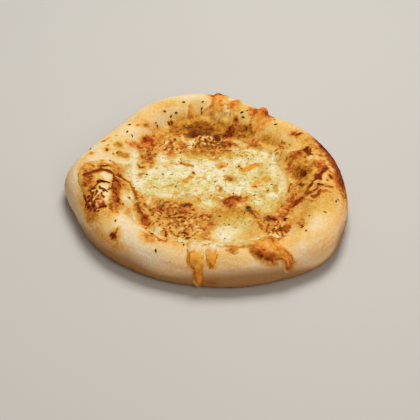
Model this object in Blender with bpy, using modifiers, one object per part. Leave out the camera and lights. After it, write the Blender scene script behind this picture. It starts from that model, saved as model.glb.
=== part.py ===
"""Garlic bread: a round, hand-shaped flat bread with a thick rolled rim and a dish of melted cheese.

Two solids, in metres, with +Z up and the origin under the middle of the bread:
  bread          dough, from its flat base up over the rim and down into the dish, with herb flakes
  melted_cheese  the layer that fills the dish and has run over the rim in places, with herb flakes

A place on the bread is given by its angle (anticlockwise from +X) and its station, which says how
far it is along the bread's section:
  -2 middle of the dish, -1 foot of the inner slope, 0 crest, 1 widest line, 2 edge of the base
"""

import math
import random

import bmesh
import bpy
import numpy as np
from mathutils import Matrix, Vector
from mathutils.geometry import delaunay_2d_cdt

MM = 0.001

# Driving dimensions of the bread.
REACH_EVERY_20 = (118.9, 116.1, 112.9, 110.2, 116.4, 120.9, 115.4, 106.2, 108.5,
                  118.9, 114.2, 116.1, 117.1, 117.9, 121.5, 127.1, 132.2, 124.9)
CREST_EVERY_45 = (30.0, 31.0, 34.0, 33.0, 33.0, 31.0, 31.0, 30.0)
SLOPE_EVERY_45 = (31.0, 27.0, 25.0, 23.0, 35.0, 23.0, 18.0, 23.0)
SHOULDER = 19.0 * MM        # from the crest out to the widest line
WIDEST_HEIGHT = 13.0 * MM
UNDERCUT = 10.0 * MM        # from the widest line in to the edge of the base
DISH_FLOOR = 13.0 * MM
SLOPE_POWER = 1.4           # how steeply the inner slope ends at the dish
BUMPS = ((5, 0.5, 0.4), (9, 0.55, 2.1), (14, 0.4, 4.0), (23, 0.25, 1.2))  # count, mm, phase
MIDDLE = (0.46 * MM, -0.8 * MM)   # middle of the whole's box, which becomes the origin

NORMAL_STEP = 0.004         # in stations, for finding the surface's direction

# Lengths along the section, for laying the cheese out flat.
SLOPE_STRETCH = 1.06
SHOULDER_ARC = 30.0 * MM
UNDERCUT_ARC = 18.0 * MM

# The cheese: the station that its edge reaches, and the runs that go further.
EDGE_EVERY_15 = (-0.15, -0.10, -0.55, -0.70, -0.65, -0.50, -0.60, -0.68,
                 -0.72, -0.66, -0.60, -0.62, 0.12, 0.35, 0.30, -0.95,
                 -0.90, -0.75, -0.12, 0.05, -0.10, -0.95, -0.70, -0.15)
RUNS = (                    # angle, half width in degrees, station at its end
    (59.6, 3.6, 0.55),      # knob at the rear right
    (74.0, 3.0, 0.60),      # broad run at the rear, in two lobes
    (83.0, 5.5, 0.80),
    (99.5, 1.8, -0.20),     # narrow strip beside it
    (265.0, 2.6, 0.60),     # run at the front: left leg, stream and right leg
    (268.2, 2.0, 1.70),
    (272.6, 2.2, 0.62),
    (283.0, 2.4, 0.24),     # small spot over the crest
    (293.5, 4.2, 0.42),     # run at the front right, with its tail
    (298.0, 3.2, 0.50),
    (301.2, 1.9, 0.97),
)
TONGUE_SHAPE = (2.5, 0.6)   # powers that make a run's sides steep and its end round
CHEESE_GAP = 0.6 * MM       # between the dough and the underside of the cheese
DISH_THICKNESS = 3.4 * MM
RIM_THICKNESS = 2.2 * MM
EDGE_THICKNESS = 0.7 * MM
EDGE_ROUNDING = 6.0 * MM    # from the edge in to the full thickness
LUMPS = (                   # waves per mm along x and y, height in mm, phase
    (0.21, 0.13, 0.32, 0.5), (-0.12, 0.27, 0.28, 1.9), (0.33, -0.22, 0.22, 4.1),
    (0.05, 0.41, 0.18, 3.0), (0.47, 0.09, 0.16, 5.2), (-0.38, 0.35, 0.14, 0.9),
)

# Herb flakes.
FLAKE_SIZE = (3.2 * MM, 1.5 * MM, 1.3 * MM)
HERBS_ON_RIM = (            # angle, station
    (102.5, -0.16), (114.5, -0.32), (108.0, -0.46), (93.0, -0.42), (111.5, -0.52), (92.5, -0.22),
    (69.4, -0.22), (66.8, -0.06), (67.4, -0.34), (47.5, -0.08), (51.0, 0.12), (122.5, -0.50),
    (145.0, -0.32), (145.5, -0.12), (139.0, 0.08), (166.0, -0.17), (164.0, -0.38), (166.5, 0.31),
    (244.0, -0.20), (250.0, 0.39), (256.5, -0.48), (259.6, -0.28), (260.8, -0.06), (225.0, 0.10),
    (318.0, -0.30), (332.0, 0.05), (348.0, 0.63), (342.0, 0.30),
)
HERBS_IN_DISH = 26
DISH_HERB_REACH = 62.0 * MM
HERB_SPREAD = 0.2           # how far a flake strays from the even spiral, in radians
HERB_SCALE = (0.8, 1.25)
HERB_SEED = 11

DOUGH_COLOUR = (0.80, 0.58, 0.30)
CHEESE_COLOUR = (0.86, 0.74, 0.42)

# Fineness of the solids.
COLUMNS = 96
STATIONS = (-1.5, -1.12, -1.0, -0.93, -0.8, -0.62, -0.44, -0.27, -0.12, 0.0, 0.14, 0.3, 0.46, 0.62,
            0.8, 1.0, 1.25, 1.5, 1.75, 2.0)
DISH_SPACING = 6.0 * MM
DISH_REACH = 60.0 * MM
RIM_SPACING = 4.3 * MM
OUTLINE_SPACING = 3.2 * MM
OUTLINE_SAMPLES = 2880      # angles that the outline is traced at
SHEET_HALF = 170.0 * MM     # half width of the square that the flat sheet fits
SAME_POINT = 1e-7           # points closer than this, in metres, are one
INSIDE_ONLY = 1             # the triangulation keeps what lies inside the outline


def around(values, angle):
    """Smooth curve through values that are evenly spaced round the bread, starting at +X."""
    values = np.asarray(values, float)
    count = len(values)
    place = np.asarray(angle, float) % math.tau / math.tau * count
    start = np.floor(place).astype(int)
    f = place - start
    a, b, c, d = (values[(start + k) % count] for k in (-1, 0, 1, 2))
    return 0.5 * (2 * b + (c - a) * f + (2 * a - 5 * b + 4 * c - d) * f**2
                  + (3 * b - a - 3 * c + d) * f**3)


def bumps(angle):
    """Unevenness of the hand-shaped rim, in metres."""
    return MM * sum(high * np.sin(n * angle + phase) for n, high, phase in BUMPS)


def rim(angle):
    """The outer reach, the crest's height and the inner slope's width at an angle."""
    reach = around(REACH_EVERY_20, angle) * MM
    crest = around(CREST_EVERY_45, angle) * MM + bumps(angle)
    slope = around(SLOPE_EVERY_45, angle) * MM
    return reach, crest, slope


def section(angle, station):
    """Distance from the middle and height of a place on the bread."""
    reach, crest, slope = rim(angle)
    inner = reach - SHOULDER
    foot = inner - slope
    down = np.clip(-station, 0, 1)
    dish_r = foot * np.clip(station + 2, 0, 1) - slope * (down - 1)
    dish_z = DISH_FLOOR + (crest - DISH_FLOOR) * (1 - down**2) ** SLOPE_POWER
    out = np.clip(station, 0, 1) * math.pi / 2
    wall_r = inner + SHOULDER * np.sin(out)
    wall_z = WIDEST_HEIGHT + (crest - WIDEST_HEIGHT) * np.cos(out)
    under = np.clip(station - 1, 0, 1) * math.pi / 2
    base_r = reach - UNDERCUT * (1 - np.cos(under))
    base_z = WIDEST_HEIGHT * (1 - np.sin(under))
    r = np.where(station < 0, dish_r, np.where(station < 1, wall_r, base_r))
    z = np.where(station < 0, dish_z, np.where(station < 1, wall_z, base_z))
    return r, z


def on_bread(angle, station, proud=0.0):
    """Points on the bread's surface, or proud of it along its normal, as rows of x, y, z."""
    angle, station = np.broadcast_arrays(np.asarray(angle, float), np.asarray(station, float))
    r, z = section(angle, station)
    outer_r, outer_z = section(angle, station + NORMAL_STEP)
    inner_r, inner_z = section(angle, station - NORMAL_STEP)
    along_r, along_z = outer_r - inner_r, outer_z - inner_z
    length = np.hypot(along_r, along_z)
    r = r - proud * along_z / length
    z = z + proud * along_r / length
    x = r * np.cos(angle) - MIDDLE[0]
    y = r * np.sin(angle) - MIDDLE[1]
    return np.stack((x, y, z), axis=-1)


def spread_at(angle, station):
    """Distance along the surface from the middle of the dish, out to a station."""
    reach, crest, slope = rim(angle)
    foot = reach - SHOULDER - slope
    ramp = SLOPE_STRETCH * np.hypot(slope, crest - DISH_FLOOR)
    return (foot * np.clip(station + 2, 0, 1) + ramp * np.clip(station + 1, 0, 1)
            + SHOULDER_ARC * np.clip(station, 0, 1) + UNDERCUT_ARC * np.clip(station - 1, 0, 1))


def station_at(angle, spread):
    """The station that lies a given distance along the surface from the middle."""
    reach, crest, slope = rim(angle)
    foot = reach - SHOULDER - slope
    ramp = SLOPE_STRETCH * np.hypot(slope, crest - DISH_FLOOR)
    past = spread - foot - ramp
    return (-2 + np.clip(spread / foot, 0, 1) + np.clip((spread - foot) / ramp, 0, 1)
            + np.clip(past / SHOULDER_ARC, 0, 1)
            + np.clip((past - SHOULDER_ARC) / UNDERCUT_ARC, 0, 1))


def run_reach(angle, centre, half_width, end, edge):
    """Edge of one run of cheese: a rounded tongue that leaves the edge at its sides."""
    off = (np.degrees(angle) - centre + 180) % 360 - 180
    sides, tip = TONGUE_SHAPE
    tongue = np.clip(1 - (np.abs(off) / half_width) ** sides, 0, 1) ** tip
    return edge + (end - edge) * tongue


def cheese_edge(angle):
    """The station that the edge of the cheese reaches at an angle."""
    edge = around(EDGE_EVERY_15, angle)
    widest = edge
    for centre, half_width, end in RUNS:
        widest = np.maximum(widest, run_reach(angle, centre, half_width, end, edge))
    return widest


def flat_outline():
    """The edge of the cheese laid out flat, as evenly spaced points."""
    angle = np.linspace(0, math.tau, OUTLINE_SAMPLES + 1)
    spread = spread_at(angle, cheese_edge(angle))
    x, y = spread * np.cos(angle), spread * np.sin(angle)
    run = np.concatenate(([0], np.cumsum(np.hypot(np.diff(x), np.diff(y)))))
    count = round(run[-1] / OUTLINE_SPACING)
    at = np.arange(count) * run[-1] / count
    return np.stack((np.interp(at, run, x), np.interp(at, run, y)), axis=-1)


def lattice(spacing, half):
    """A triangular lattice of points over a square of the given half width."""
    row_spacing = spacing * math.sin(math.pi / 3)
    rows = int(2 * half / row_spacing) + 1
    columns = int(2 * half / spacing) + 1
    row, column = np.mgrid[0:rows, 0:columns]
    x = -half + (column + 0.5 * (row % 2)) * spacing
    y = -half + row * row_spacing
    return np.stack((x.ravel(), y.ravel()), axis=-1)


def edge_distance(points, outline):
    """Distance from each flat point to the outline."""
    nearest = np.full(len(points), 1.0)
    for a, b in zip(outline, np.roll(outline, -1, axis=0)):
        along = np.clip((points - a) @ (b - a) / ((b - a) @ (b - a)), 0, 1)
        off = points - a - along[:, None] * (b - a)
        nearest = np.minimum(nearest, np.hypot(off[:, 0], off[:, 1]))
    return nearest


def inside_cheese(points):
    """Which flat points lie inside the edge of the cheese."""
    angle = np.arctan2(points[:, 1], points[:, 0])
    return np.hypot(points[:, 0], points[:, 1]) < spread_at(angle, cheese_edge(angle))


def lumps(points):
    """Gentle unevenness of the melted cheese, in metres."""
    x, y = points[:, 0] / MM, points[:, 1] / MM
    return MM * sum(high * np.sin(kx * x + ky * y + phase) for kx, ky, high, phase in LUMPS)


def cheese_thickness(flat, station, to_edge):
    """Thickness of the cheese: full in the dish, thinner over the rim, rounded off at its edge."""
    full = DISH_THICKNESS + (RIM_THICKNESS - DISH_THICKNESS) * np.clip(station + 1, 0, 1)
    full = full + lumps(flat)
    grow = np.clip(to_edge / EDGE_ROUNDING, 0, 1)
    return EDGE_THICKNESS + (full - EDGE_THICKNESS) * np.sqrt(grow * (2 - grow))


def collection_named(name):
    """A new collection under the scene's own."""
    collection = bpy.data.collections.new(name)
    bpy.context.scene.collection.children.link(collection)
    return collection


def linked(name, mesh, collection, material):
    """A new smooth-shaded object with one material, in a collection."""
    mesh.shade_smooth()
    mesh.materials.append(material)
    obj = bpy.data.objects.new(name, mesh)
    collection.objects.link(obj)
    return obj


def food_material(name, colour, roughness):
    """A plain Principled material."""
    material = bpy.data.materials.new(name)
    material.use_nodes = True
    shader = material.node_tree.nodes["Principled BSDF"]
    shader.inputs["Base Color"].default_value = (*colour, 1.0)
    shader.inputs["Roughness"].default_value = roughness
    shader.inputs["Metallic"].default_value = 0.0
    return material


def mesh_from(name, bm):
    """The mesh of a bmesh, which is then freed."""
    mesh = bpy.data.meshes.new(name)
    bm.to_mesh(mesh)
    bm.free()
    return mesh


def dough_mesh():
    """The dough: a loft of unlike sections, closed in the middle of the dish and under the base."""
    angle = np.arange(COLUMNS) * math.tau / COLUMNS
    bm = bmesh.new()
    rings = [[bm.verts.new(point) for point in on_bread(angle, station)] for station in STATIONS]
    for inner, outer in zip(rings, rings[1:]):
        for k in range(COLUMNS):
            after = (k + 1) % COLUMNS
            bm.faces.new((inner[k], outer[k], outer[after], inner[after]))
    middle = bm.verts.new(on_bread(0.0, -2.0))
    for k in range(COLUMNS):
        bm.faces.new((middle, rings[0][k], rings[0][(k + 1) % COLUMNS]))
    bm.faces.new(list(reversed(rings[-1])))
    return mesh_from("bread", bm)


def flat_points(outline):
    """Points that fill the flat outline: wide apart in the dish, closer on the slopes and runs."""
    dish = lattice(DISH_SPACING, SHEET_HALF)
    dish = dish[np.hypot(dish[:, 0], dish[:, 1]) < DISH_REACH]
    rim_part = lattice(RIM_SPACING, SHEET_HALF)
    rim_part = rim_part[np.hypot(rim_part[:, 0], rim_part[:, 1]) > DISH_REACH + 0.5 * DISH_SPACING]
    rim_part = rim_part[inside_cheese(rim_part)]
    rim_part = rim_part[edge_distance(rim_part, outline) > 0.5 * RIM_SPACING]
    return np.concatenate((outline, dish, rim_part))


def cheese_sheet(collection, material):
    """The cheese: a flat sheet, wrapped over the dough and given its varying thickness."""
    outline = flat_outline()
    points = [Vector(point) for point in flat_points(outline)]
    loop = list(range(len(outline)))
    flat, _, faces, *_ = delaunay_2d_cdt(points, [], [loop], INSIDE_ONLY, SAME_POINT)
    flat = np.array([tuple(point) for point in flat])
    angle = np.arctan2(flat[:, 1], flat[:, 0])
    station = station_at(angle, np.hypot(flat[:, 0], flat[:, 1]))
    thickness = cheese_thickness(flat, station, edge_distance(flat, outline))

    mesh = bpy.data.meshes.new("melted_cheese")
    mesh.from_pydata([tuple(p) for p in on_bread(angle, station, CHEESE_GAP)], [], faces)
    sheet = linked("melted_cheese", mesh, collection, material)
    group = sheet.vertex_groups.new(name="thickness")
    most = float(thickness.max())
    for index, thick in enumerate(thickness):
        group.add([index], float(thick) / most, "REPLACE")
    solidify = sheet.modifiers.new("thickness", "SOLIDIFY")
    solidify.thickness = most
    solidify.offset = 1.0
    solidify.vertex_group = group.name
    return sheet


def add_flake(collection, centre, normal, turn, scale):
    """One herb flake: a small flattened crumb, lying along the surface and half sunk in it."""
    bm = bmesh.new()
    bmesh.ops.create_icosphere(bm, subdivisions=1, radius=0.5)
    size = Matrix.Diagonal(Vector((*(scale * s for s in FLAKE_SIZE), 1.0)))
    lie = Vector(normal).to_track_quat("Z", "Y").to_matrix().to_4x4()
    place = Matrix.Translation(Vector(centre)) @ lie @ Matrix.Rotation(turn, 4, "Z") @ size
    bm.transform(place)
    flake = bpy.data.objects.new("flake", mesh_from("flake", bm))
    collection.objects.link(flake)


def lay_flake(collection, angle, station, proud, rng):
    """A flake on the surface that stands a given height proud of the dough."""
    centre = on_bread(angle, station, proud)
    normal = on_bread(angle, station, proud + MM) - centre
    turn = rng.uniform(0, math.tau)
    add_flake(collection, centre, normal, turn, rng.uniform(*HERB_SCALE))


def herbs_on_rim(collection, rng):
    """Flakes on the dough, kept clear of the cheese."""
    for degrees, station in HERBS_ON_RIM:
        angle = math.radians(degrees)
        lay_flake(collection, angle, station, 0.0, rng)


def herbs_in_dish(collection, rng):
    """Flakes spread evenly over the cheese in the dish."""
    golden = math.pi * (3 - math.sqrt(5))
    for k in range(HERBS_IN_DISH):
        reach = DISH_HERB_REACH * math.sqrt((k + 0.5) / HERBS_IN_DISH)
        angle = k * golden + rng.uniform(-HERB_SPREAD, HERB_SPREAD)
        flat = np.array([[reach * math.cos(angle), reach * math.sin(angle)]])
        station = float(station_at(angle, reach))
        thick = float(cheese_thickness(flat, station, EDGE_ROUNDING)[0])
        lay_flake(collection, angle, station, CHEESE_GAP + thick, rng)


def fuse(obj, scattered):
    """Joins a collection of small pieces to an object, and removes them and their collection."""
    union = obj.modifiers.new("herbs", "BOOLEAN")
    union.operation = "UNION"
    union.operand_type = "COLLECTION"
    union.collection = scattered
    union.solver = "EXACT"
    depsgraph = bpy.context.evaluated_depsgraph_get()
    fused = bpy.data.meshes.new_from_object(obj.evaluated_get(depsgraph))
    obj.modifiers.clear()
    obj.data = fused
    for piece in list(scattered.objects):
        bpy.data.objects.remove(piece, do_unlink=True)
    bpy.data.collections.remove(scattered)


def main():
    """Builds the bread and its cheese in an empty scene."""
    for obj in list(bpy.data.objects):
        bpy.data.objects.remove(obj, do_unlink=True)
    rng = random.Random(HERB_SEED)
    parts = collection_named("garlic_bread")

    bread = linked("bread", dough_mesh(), parts, food_material("baked_dough", DOUGH_COLOUR, 0.7))
    rim_herbs = collection_named("rim_herbs")
    herbs_on_rim(rim_herbs, rng)
    fuse(bread, rim_herbs)

    cheese = cheese_sheet(parts, food_material("melted_cheese", CHEESE_COLOUR, 0.4))
    dish_herbs = collection_named("dish_herbs")
    herbs_in_dish(dish_herbs, rng)
    fuse(cheese, dish_herbs)


main()
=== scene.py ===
"""Looks of a round garlic bread: floury crust, a dish of melted and browned cheese, herb flakes.

Lengths are millimetres until a mesh is made. A place on the bread is given in one of two ways:
  angle and station  the angle runs anticlockwise from +X; the station runs along the section:
                     -2 middle of the dish, -1 foot of the slope, 0 crest, 1 widest line,
                     2 edge of the base
  flat x and y       the surface laid out flat: a point lies at its angle, as far from the middle
                     as it is along the surface, so a mark keeps its true size anywhere
"""

import math
import random

import bmesh
import bpy
import numpy as np
from mathutils import Matrix, Vector
from mathutils.kdtree import KDTree


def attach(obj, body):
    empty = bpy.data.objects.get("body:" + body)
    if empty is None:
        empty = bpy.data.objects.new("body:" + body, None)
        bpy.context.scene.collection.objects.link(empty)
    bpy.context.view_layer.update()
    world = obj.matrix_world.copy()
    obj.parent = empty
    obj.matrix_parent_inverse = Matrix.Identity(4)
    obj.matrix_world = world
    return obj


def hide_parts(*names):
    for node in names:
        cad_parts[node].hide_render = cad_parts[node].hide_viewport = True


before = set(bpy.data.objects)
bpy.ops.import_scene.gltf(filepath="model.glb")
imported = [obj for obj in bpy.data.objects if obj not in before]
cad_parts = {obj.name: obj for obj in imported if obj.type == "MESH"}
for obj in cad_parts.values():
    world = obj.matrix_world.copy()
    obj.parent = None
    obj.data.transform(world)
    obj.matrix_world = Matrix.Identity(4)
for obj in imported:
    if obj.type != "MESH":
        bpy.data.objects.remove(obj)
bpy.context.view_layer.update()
MM = 0.001

# ---------------------------------------------------------------- the bread's shape, as constructed
REACH_EVERY_20 = (118.9, 116.1, 112.9, 110.2, 116.4, 120.9, 115.4, 106.2, 108.5,
                  118.9, 114.2, 116.1, 117.1, 117.9, 121.5, 127.1, 132.2, 124.9)
CREST_EVERY_45 = (30.0, 31.0, 34.0, 33.0, 33.0, 31.0, 31.0, 30.0)
SLOPE_EVERY_45 = (31.0, 27.0, 25.0, 23.0, 35.0, 23.0, 18.0, 23.0)
SHOULDER, WIDEST_HEIGHT, UNDERCUT, DISH_FLOOR = 19.0, 13.0, 10.0, 13.0
SLOPE_POWER = 1.4
BUMPS = ((5, 0.5, 0.4), (9, 0.55, 2.1), (14, 0.4, 4.0), (23, 0.25, 1.2))
MIDDLE = (0.46, -0.8)
NORMAL_STEP = 0.004
SOFT_STEP = 0.3             # in stations, for the softened section that the cheese lies on
ROUND_WALL = 118.0          # one radian along the wall
SLOPE_STRETCH, SHOULDER_ARC, UNDERCUT_ARC = 1.06, 30.0, 18.0

# Stations round the bread: where the painted shade at the foot of the wall begins, and the cheese's
# edge.
SHADE_FROM_EVERY_15 = (0.95, 1.0, 1.0, 1.0, 1.0, 1.0, 1.0, 1.0,
                     1.0, 1.0, 1.0, 1.1, 1.2, 1.1, 0.74, 0.66,
                     0.60, 0.76, 0.62, 0.52, 0.58, 0.96, 0.55, 0.85)
EDGE_EVERY_15 = (-0.15, -0.10, -0.55, -0.70, -0.65, -0.50, -0.60, -0.68,
                 -0.72, -0.66, -0.60, -0.62, 0.12, 0.35, 0.30, -0.95,
                 -0.90, -0.75, -0.12, 0.05, -0.10, -0.95, -0.70, -0.15)
RUNS = (                    # angle, half width in degrees, station at its end
    (59.6, 3.6, 0.55), (74.0, 3.0, 0.60), (83.0, 5.5, 0.80), (99.5, 1.8, -0.20),
    (265.0, 2.6, 0.60), (268.2, 2.0, 1.70), (273.3, 2.7, 0.62), (283.0, 2.4, 0.24),
    (293.5, 4.2, 0.42), (298.0, 3.2, 0.50), (301.2, 1.9, 0.97),
)
TONGUE_SHAPE = (2.5, 0.6)
DISH_HEIGHT, RIM_HEIGHT = 4.0, 1.9      # of the cheese's top over the dough
LUMPS = (
    (0.21, 0.13, 0.32, 0.5), (-0.12, 0.27, 0.28, 1.9), (0.33, -0.22, 0.22, 4.1),
    (0.05, 0.41, 0.18, 3.0), (0.47, 0.09, 0.16, 5.2), (-0.38, 0.35, 0.14, 0.9),
)

FLAKE_SIZE = (3.2, 1.5, 1.3)
HERBS_ON_RIM = (            # angle, station
    (102.5, -0.16), (114.5, -0.32), (108.0, -0.46), (93.0, -0.42), (111.5, -0.52), (92.5, -0.22),
    (69.4, -0.22), (66.8, -0.06), (67.4, -0.34), (47.5, -0.08), (51.0, 0.12), (122.5, -0.50),
    (145.0, -0.32), (145.5, -0.12), (139.0, 0.08), (166.0, -0.17), (164.0, -0.38), (166.5, 0.31),
    (244.0, -0.20), (250.0, 0.39), (256.5, -0.48), (259.6, -0.28), (260.8, -0.06), (225.0, 0.10),
    (318.0, -0.30), (332.0, 0.05), (348.0, 0.63), (342.0, 0.30),
)
HERBS_IN_DISH, DISH_HERB_REACH, HERB_SPREAD = 26, 62.0, 0.2
HERB_SCALE = (0.8, 1.25)
DISH_HERB_SCALE = 0.72      # herbs in the dish are partly sunk in the cheese
SPECKS, SPECK_REACH = 300, 84.0         # smaller crumbs strewn over the cheese
DUST_FLECKS, DUST_REACH = 850, 74.0     # herb dust, which is colour alone
SHREDS, SHRED_REACH = 620, 108.0        # melted shreds in the cheese's relief
HERB_SEED, SPECK_SEED, DUST_SEED, SHRED_SEED, MARK_SEED = 11, 17, 5, 8, 21

# ---------------------------------------------------------------- marks, at flat x and y
# Tone says in percent how far a place is baked: 0 white, 20 cream, 40 golden, 60 orange-brown,
# 80 dark brown, 100 char. Redness and olive tint are in percent too, and turns are in degrees.
# Ground of the cheese, very soft: x, y, half length, half width, turn, tone, olive tint.
CHEESE_GROUND = (
    # left
    (-105, -4, 12, 8, 90, 36, 0), (-97, 3, 8, 5, 10, 22, 0), (-81, 6, 9, 6, 5, 36, 0),
    (-104, -25, 12, 5, 95, 52, 0), (-107, -38, 10, 4, 110, 42, 80), (-100, -50, 15, 7, 115, 48, 0),
    (-79, -28, 28, 5, 90, 52, 0), (-70.5, -13, 11, 4.5, 88, 42, 20), (-72, -52, 12, 5, 75, 42, 10),
    (-78, -60, 7, 4, 90, 48, 0), (-60, -14, 14, 3.4, -75, 42, 40), (-53, -36, 15, 8, 80, 46, 20),
    # upper left and rear; the dark olive band at the foot of the steep rear wall is browned, oily
    # cheese with painted shade in its crease
    (-53, 46, 22, 9, 62, 44, 10), (-52, 32, 13, 7, 90, 46, 10), (-40, 68, 13, 6, 45, 34, 40),
    (-6, 83, 30, 10, 0, 50, 90), (-10, 88, 24, 5, 0, 42, 80), (-6, 73, 19, 8, 0, 70, 80),
    (2, 57, 24, 11, 0, 60, 50), (-30, 50, 15, 12, 0, 46, 20), (-14, 42, 13, 6, 0, 42, 20),
    (25, 55, 9, 6, 0, 70, 20), (-28, 80, 7, 4, 30, 60, 60), (-39, 65, 9, 5, 45, 42, 30),
    (3, -70, 7, 9, 0, 46, 10), (58, -91, 9, 7, 30, 56, 20), (-42, -54, 8, 7, 0, 46, 10),
    (-34, -22, 9, 5, 0, 30, 30), (60, 54, 18, 6, -40, 56, 60), (33, 72, 20, 9, -35, 55, 90),
    (45, 60, 20, 8, -35, 40, 60), (50, 78, 12, 9, 60, 46, 20), (12, 100, 19, 12, 0, 40, 0),
    (10, 116, 10, 4, 0, 66, 0), (30, 90, 12, 12, 0, 26, 60), (4, 88, 20, 4, 0, 42, 30),
    # right
    (82, 14, 24, 15, -80, 46, 40), (105, 6, 18, 9, 85, 50, 0), (90, -10, 20, 12, 60, 37, 30),
    (74, -25, 11, 8, -50, 50, 0), (70, -34, 20, 9, 60, 46, 0), (72, 44, 9, 6, 40, 34, 80),
    # the front of the dish
    (52, -52, 17, 12, -30, 46, 20), (41, -42, 14, 5, -60, 42, 50), (22, -45, 18, 10, 0, 26, 100),
    (-30, -37, 25, 11, -8, 53, 0), (-18, -57, 24, 14, 0, 40, 0), (3, -50, 9, 16, 0, 42, 0),
    (60, -28, 11, 9, 0, 22, 90), (62, -62, 14, 8, 40, 42, 0), (36, -67, 12, 6, 15, 36, 10),
    (33, -18, 7, 5, 0, 40, 0), (-33, 26, 10, 6, 0, 20, 30), (-10, -17, 13, 7, 0, 30, 20),
    (28, -36, 9, 7, 0, 42, 40), (2, 58, 16, 7, 0, 50, 20),
    # the middle of the dish
    (50, 10, 12, 16, 0, 19, 60), (-26, -8, 22, 8, 0, 18, 70), (11, -21, 6, 5, 0, 36, 20),
    (17, -38, 9, 6, 0, 46, 40), (3, 44, 20, 6, 0, 53, 50), (-44, -36, 9, 7, 0, 54, 20),
    (10, 37, 44, 8, 0, 20, 80),
    # front: over the crest
    (-6, -123, 10, 6, 0, 32, 0), (6, -124, 9, 7, 0, 32, 0), (54, -102, 14, 12, -10, 46, 0),
    (66, -111, 13, 7, -30, 44, 0), (-3, -138, 13, 6, 90, 36, 0), (26, -109, 12, 4, 0, 30, 0),
)
# Ground of the bare crust, very soft: x, y, half length, half width, turn, tone, olive tint.
CRUST_GROUND = (
    # left and rear
    (-40, 98, 14, 8, 25, 32, 10), (-54, 86, 15, 8, 40, 22, 10), (-66, 72, 11, 8, 50, 28, 0),
    (-84, 34, 15, 10, 60, 18, 40), (-91, 52, 12, 6, 60, 18, 0), (-6, 99, 34, 9, 0, 20, 40),
    (99, -89, 15, 8, 50, 24, 10), (38, 92, 18, 11, -30, 30, 50), (62, 70, 18, 9, -45, 26, 60),
    (84, 55, 18, 9, -50, 36, 30), (83, 77, 22, 7, -45, 28, 0), (111, 42, 15, 8, -65, 90, 10),
    (59, -90, 9, 7, 30, 52, 20), (104, 56, 13, 6, -60, 54, 10), (60, 54, 18, 6, -40, 48, 50),
    (10, 114, 9, 4, 0, 46, 20),
    # right
    (97, 44, 18, 9, -65, 45, 10), (111, 51, 22, 5, -62, 78, 0), (117, 25, 18, 8, -70, 66, 0),
    (123, -2, 30, 8, 93, 72, 0), (92, 22, 26, 9, 95, 34, 40), (108, -22, 16, 9, 70, 38, 10),
    (97, -45, 18, 9, 45, 32, 60), (-92, -84, 14, 6, -50, 30, 20), (109, -40, 16, 8, 75, 34, 40),
    # The long band at (-89, -113) darkens the front-left foot of the wall: painted shade.
    (-89, -113, 46, 7, -38, 34, 10), (118, -22, 22, 9, 85, 30, 20), (116, -52, 24, 6, 68, 26, 0),
    (13, -119, 34, 8, 4, 25, 0), (82, -74, 18, 7, 80, 30, 50), (109, -55, 14, 8, 60, 20, 0),
    # front
    (-18, -99, 19, 11, 5, 36, 0), (-47, -97, 9, 7, -60, 40, 0), (-78, -96, 12, 7, -60, 34, 10),
    (-97, -65, 12, 7, -60, 46, 30), (-85, -67, 9, 6, -50, 38, 0), (-101, -60, 10, 5, 115, 56, 10),
    # The olive band at (-10, 86) on the steep rear wall: browned, oily crust with painted shade.
    (-10, 86, 24, 6, 0, 40, 70), (-45, 70, 7, 5, 45, 36, 20), (-40, 66, 9, 5, 45, 38, 30),
    (60, -95, 9, 6, 0, 42, 20), (83, -43, 11, 8, 45, 40, 20), (-88, -72, 12, 6, -50, 26, 40),
    (-108, -48, 14, 6, 110, 30, 50), (-110, -14, 24, 5, 92, 34, 20), (40, -112, 18, 6, 12, 20, 0),
    (72, -95, 14, 8, 45, 26, 10),
)
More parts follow.
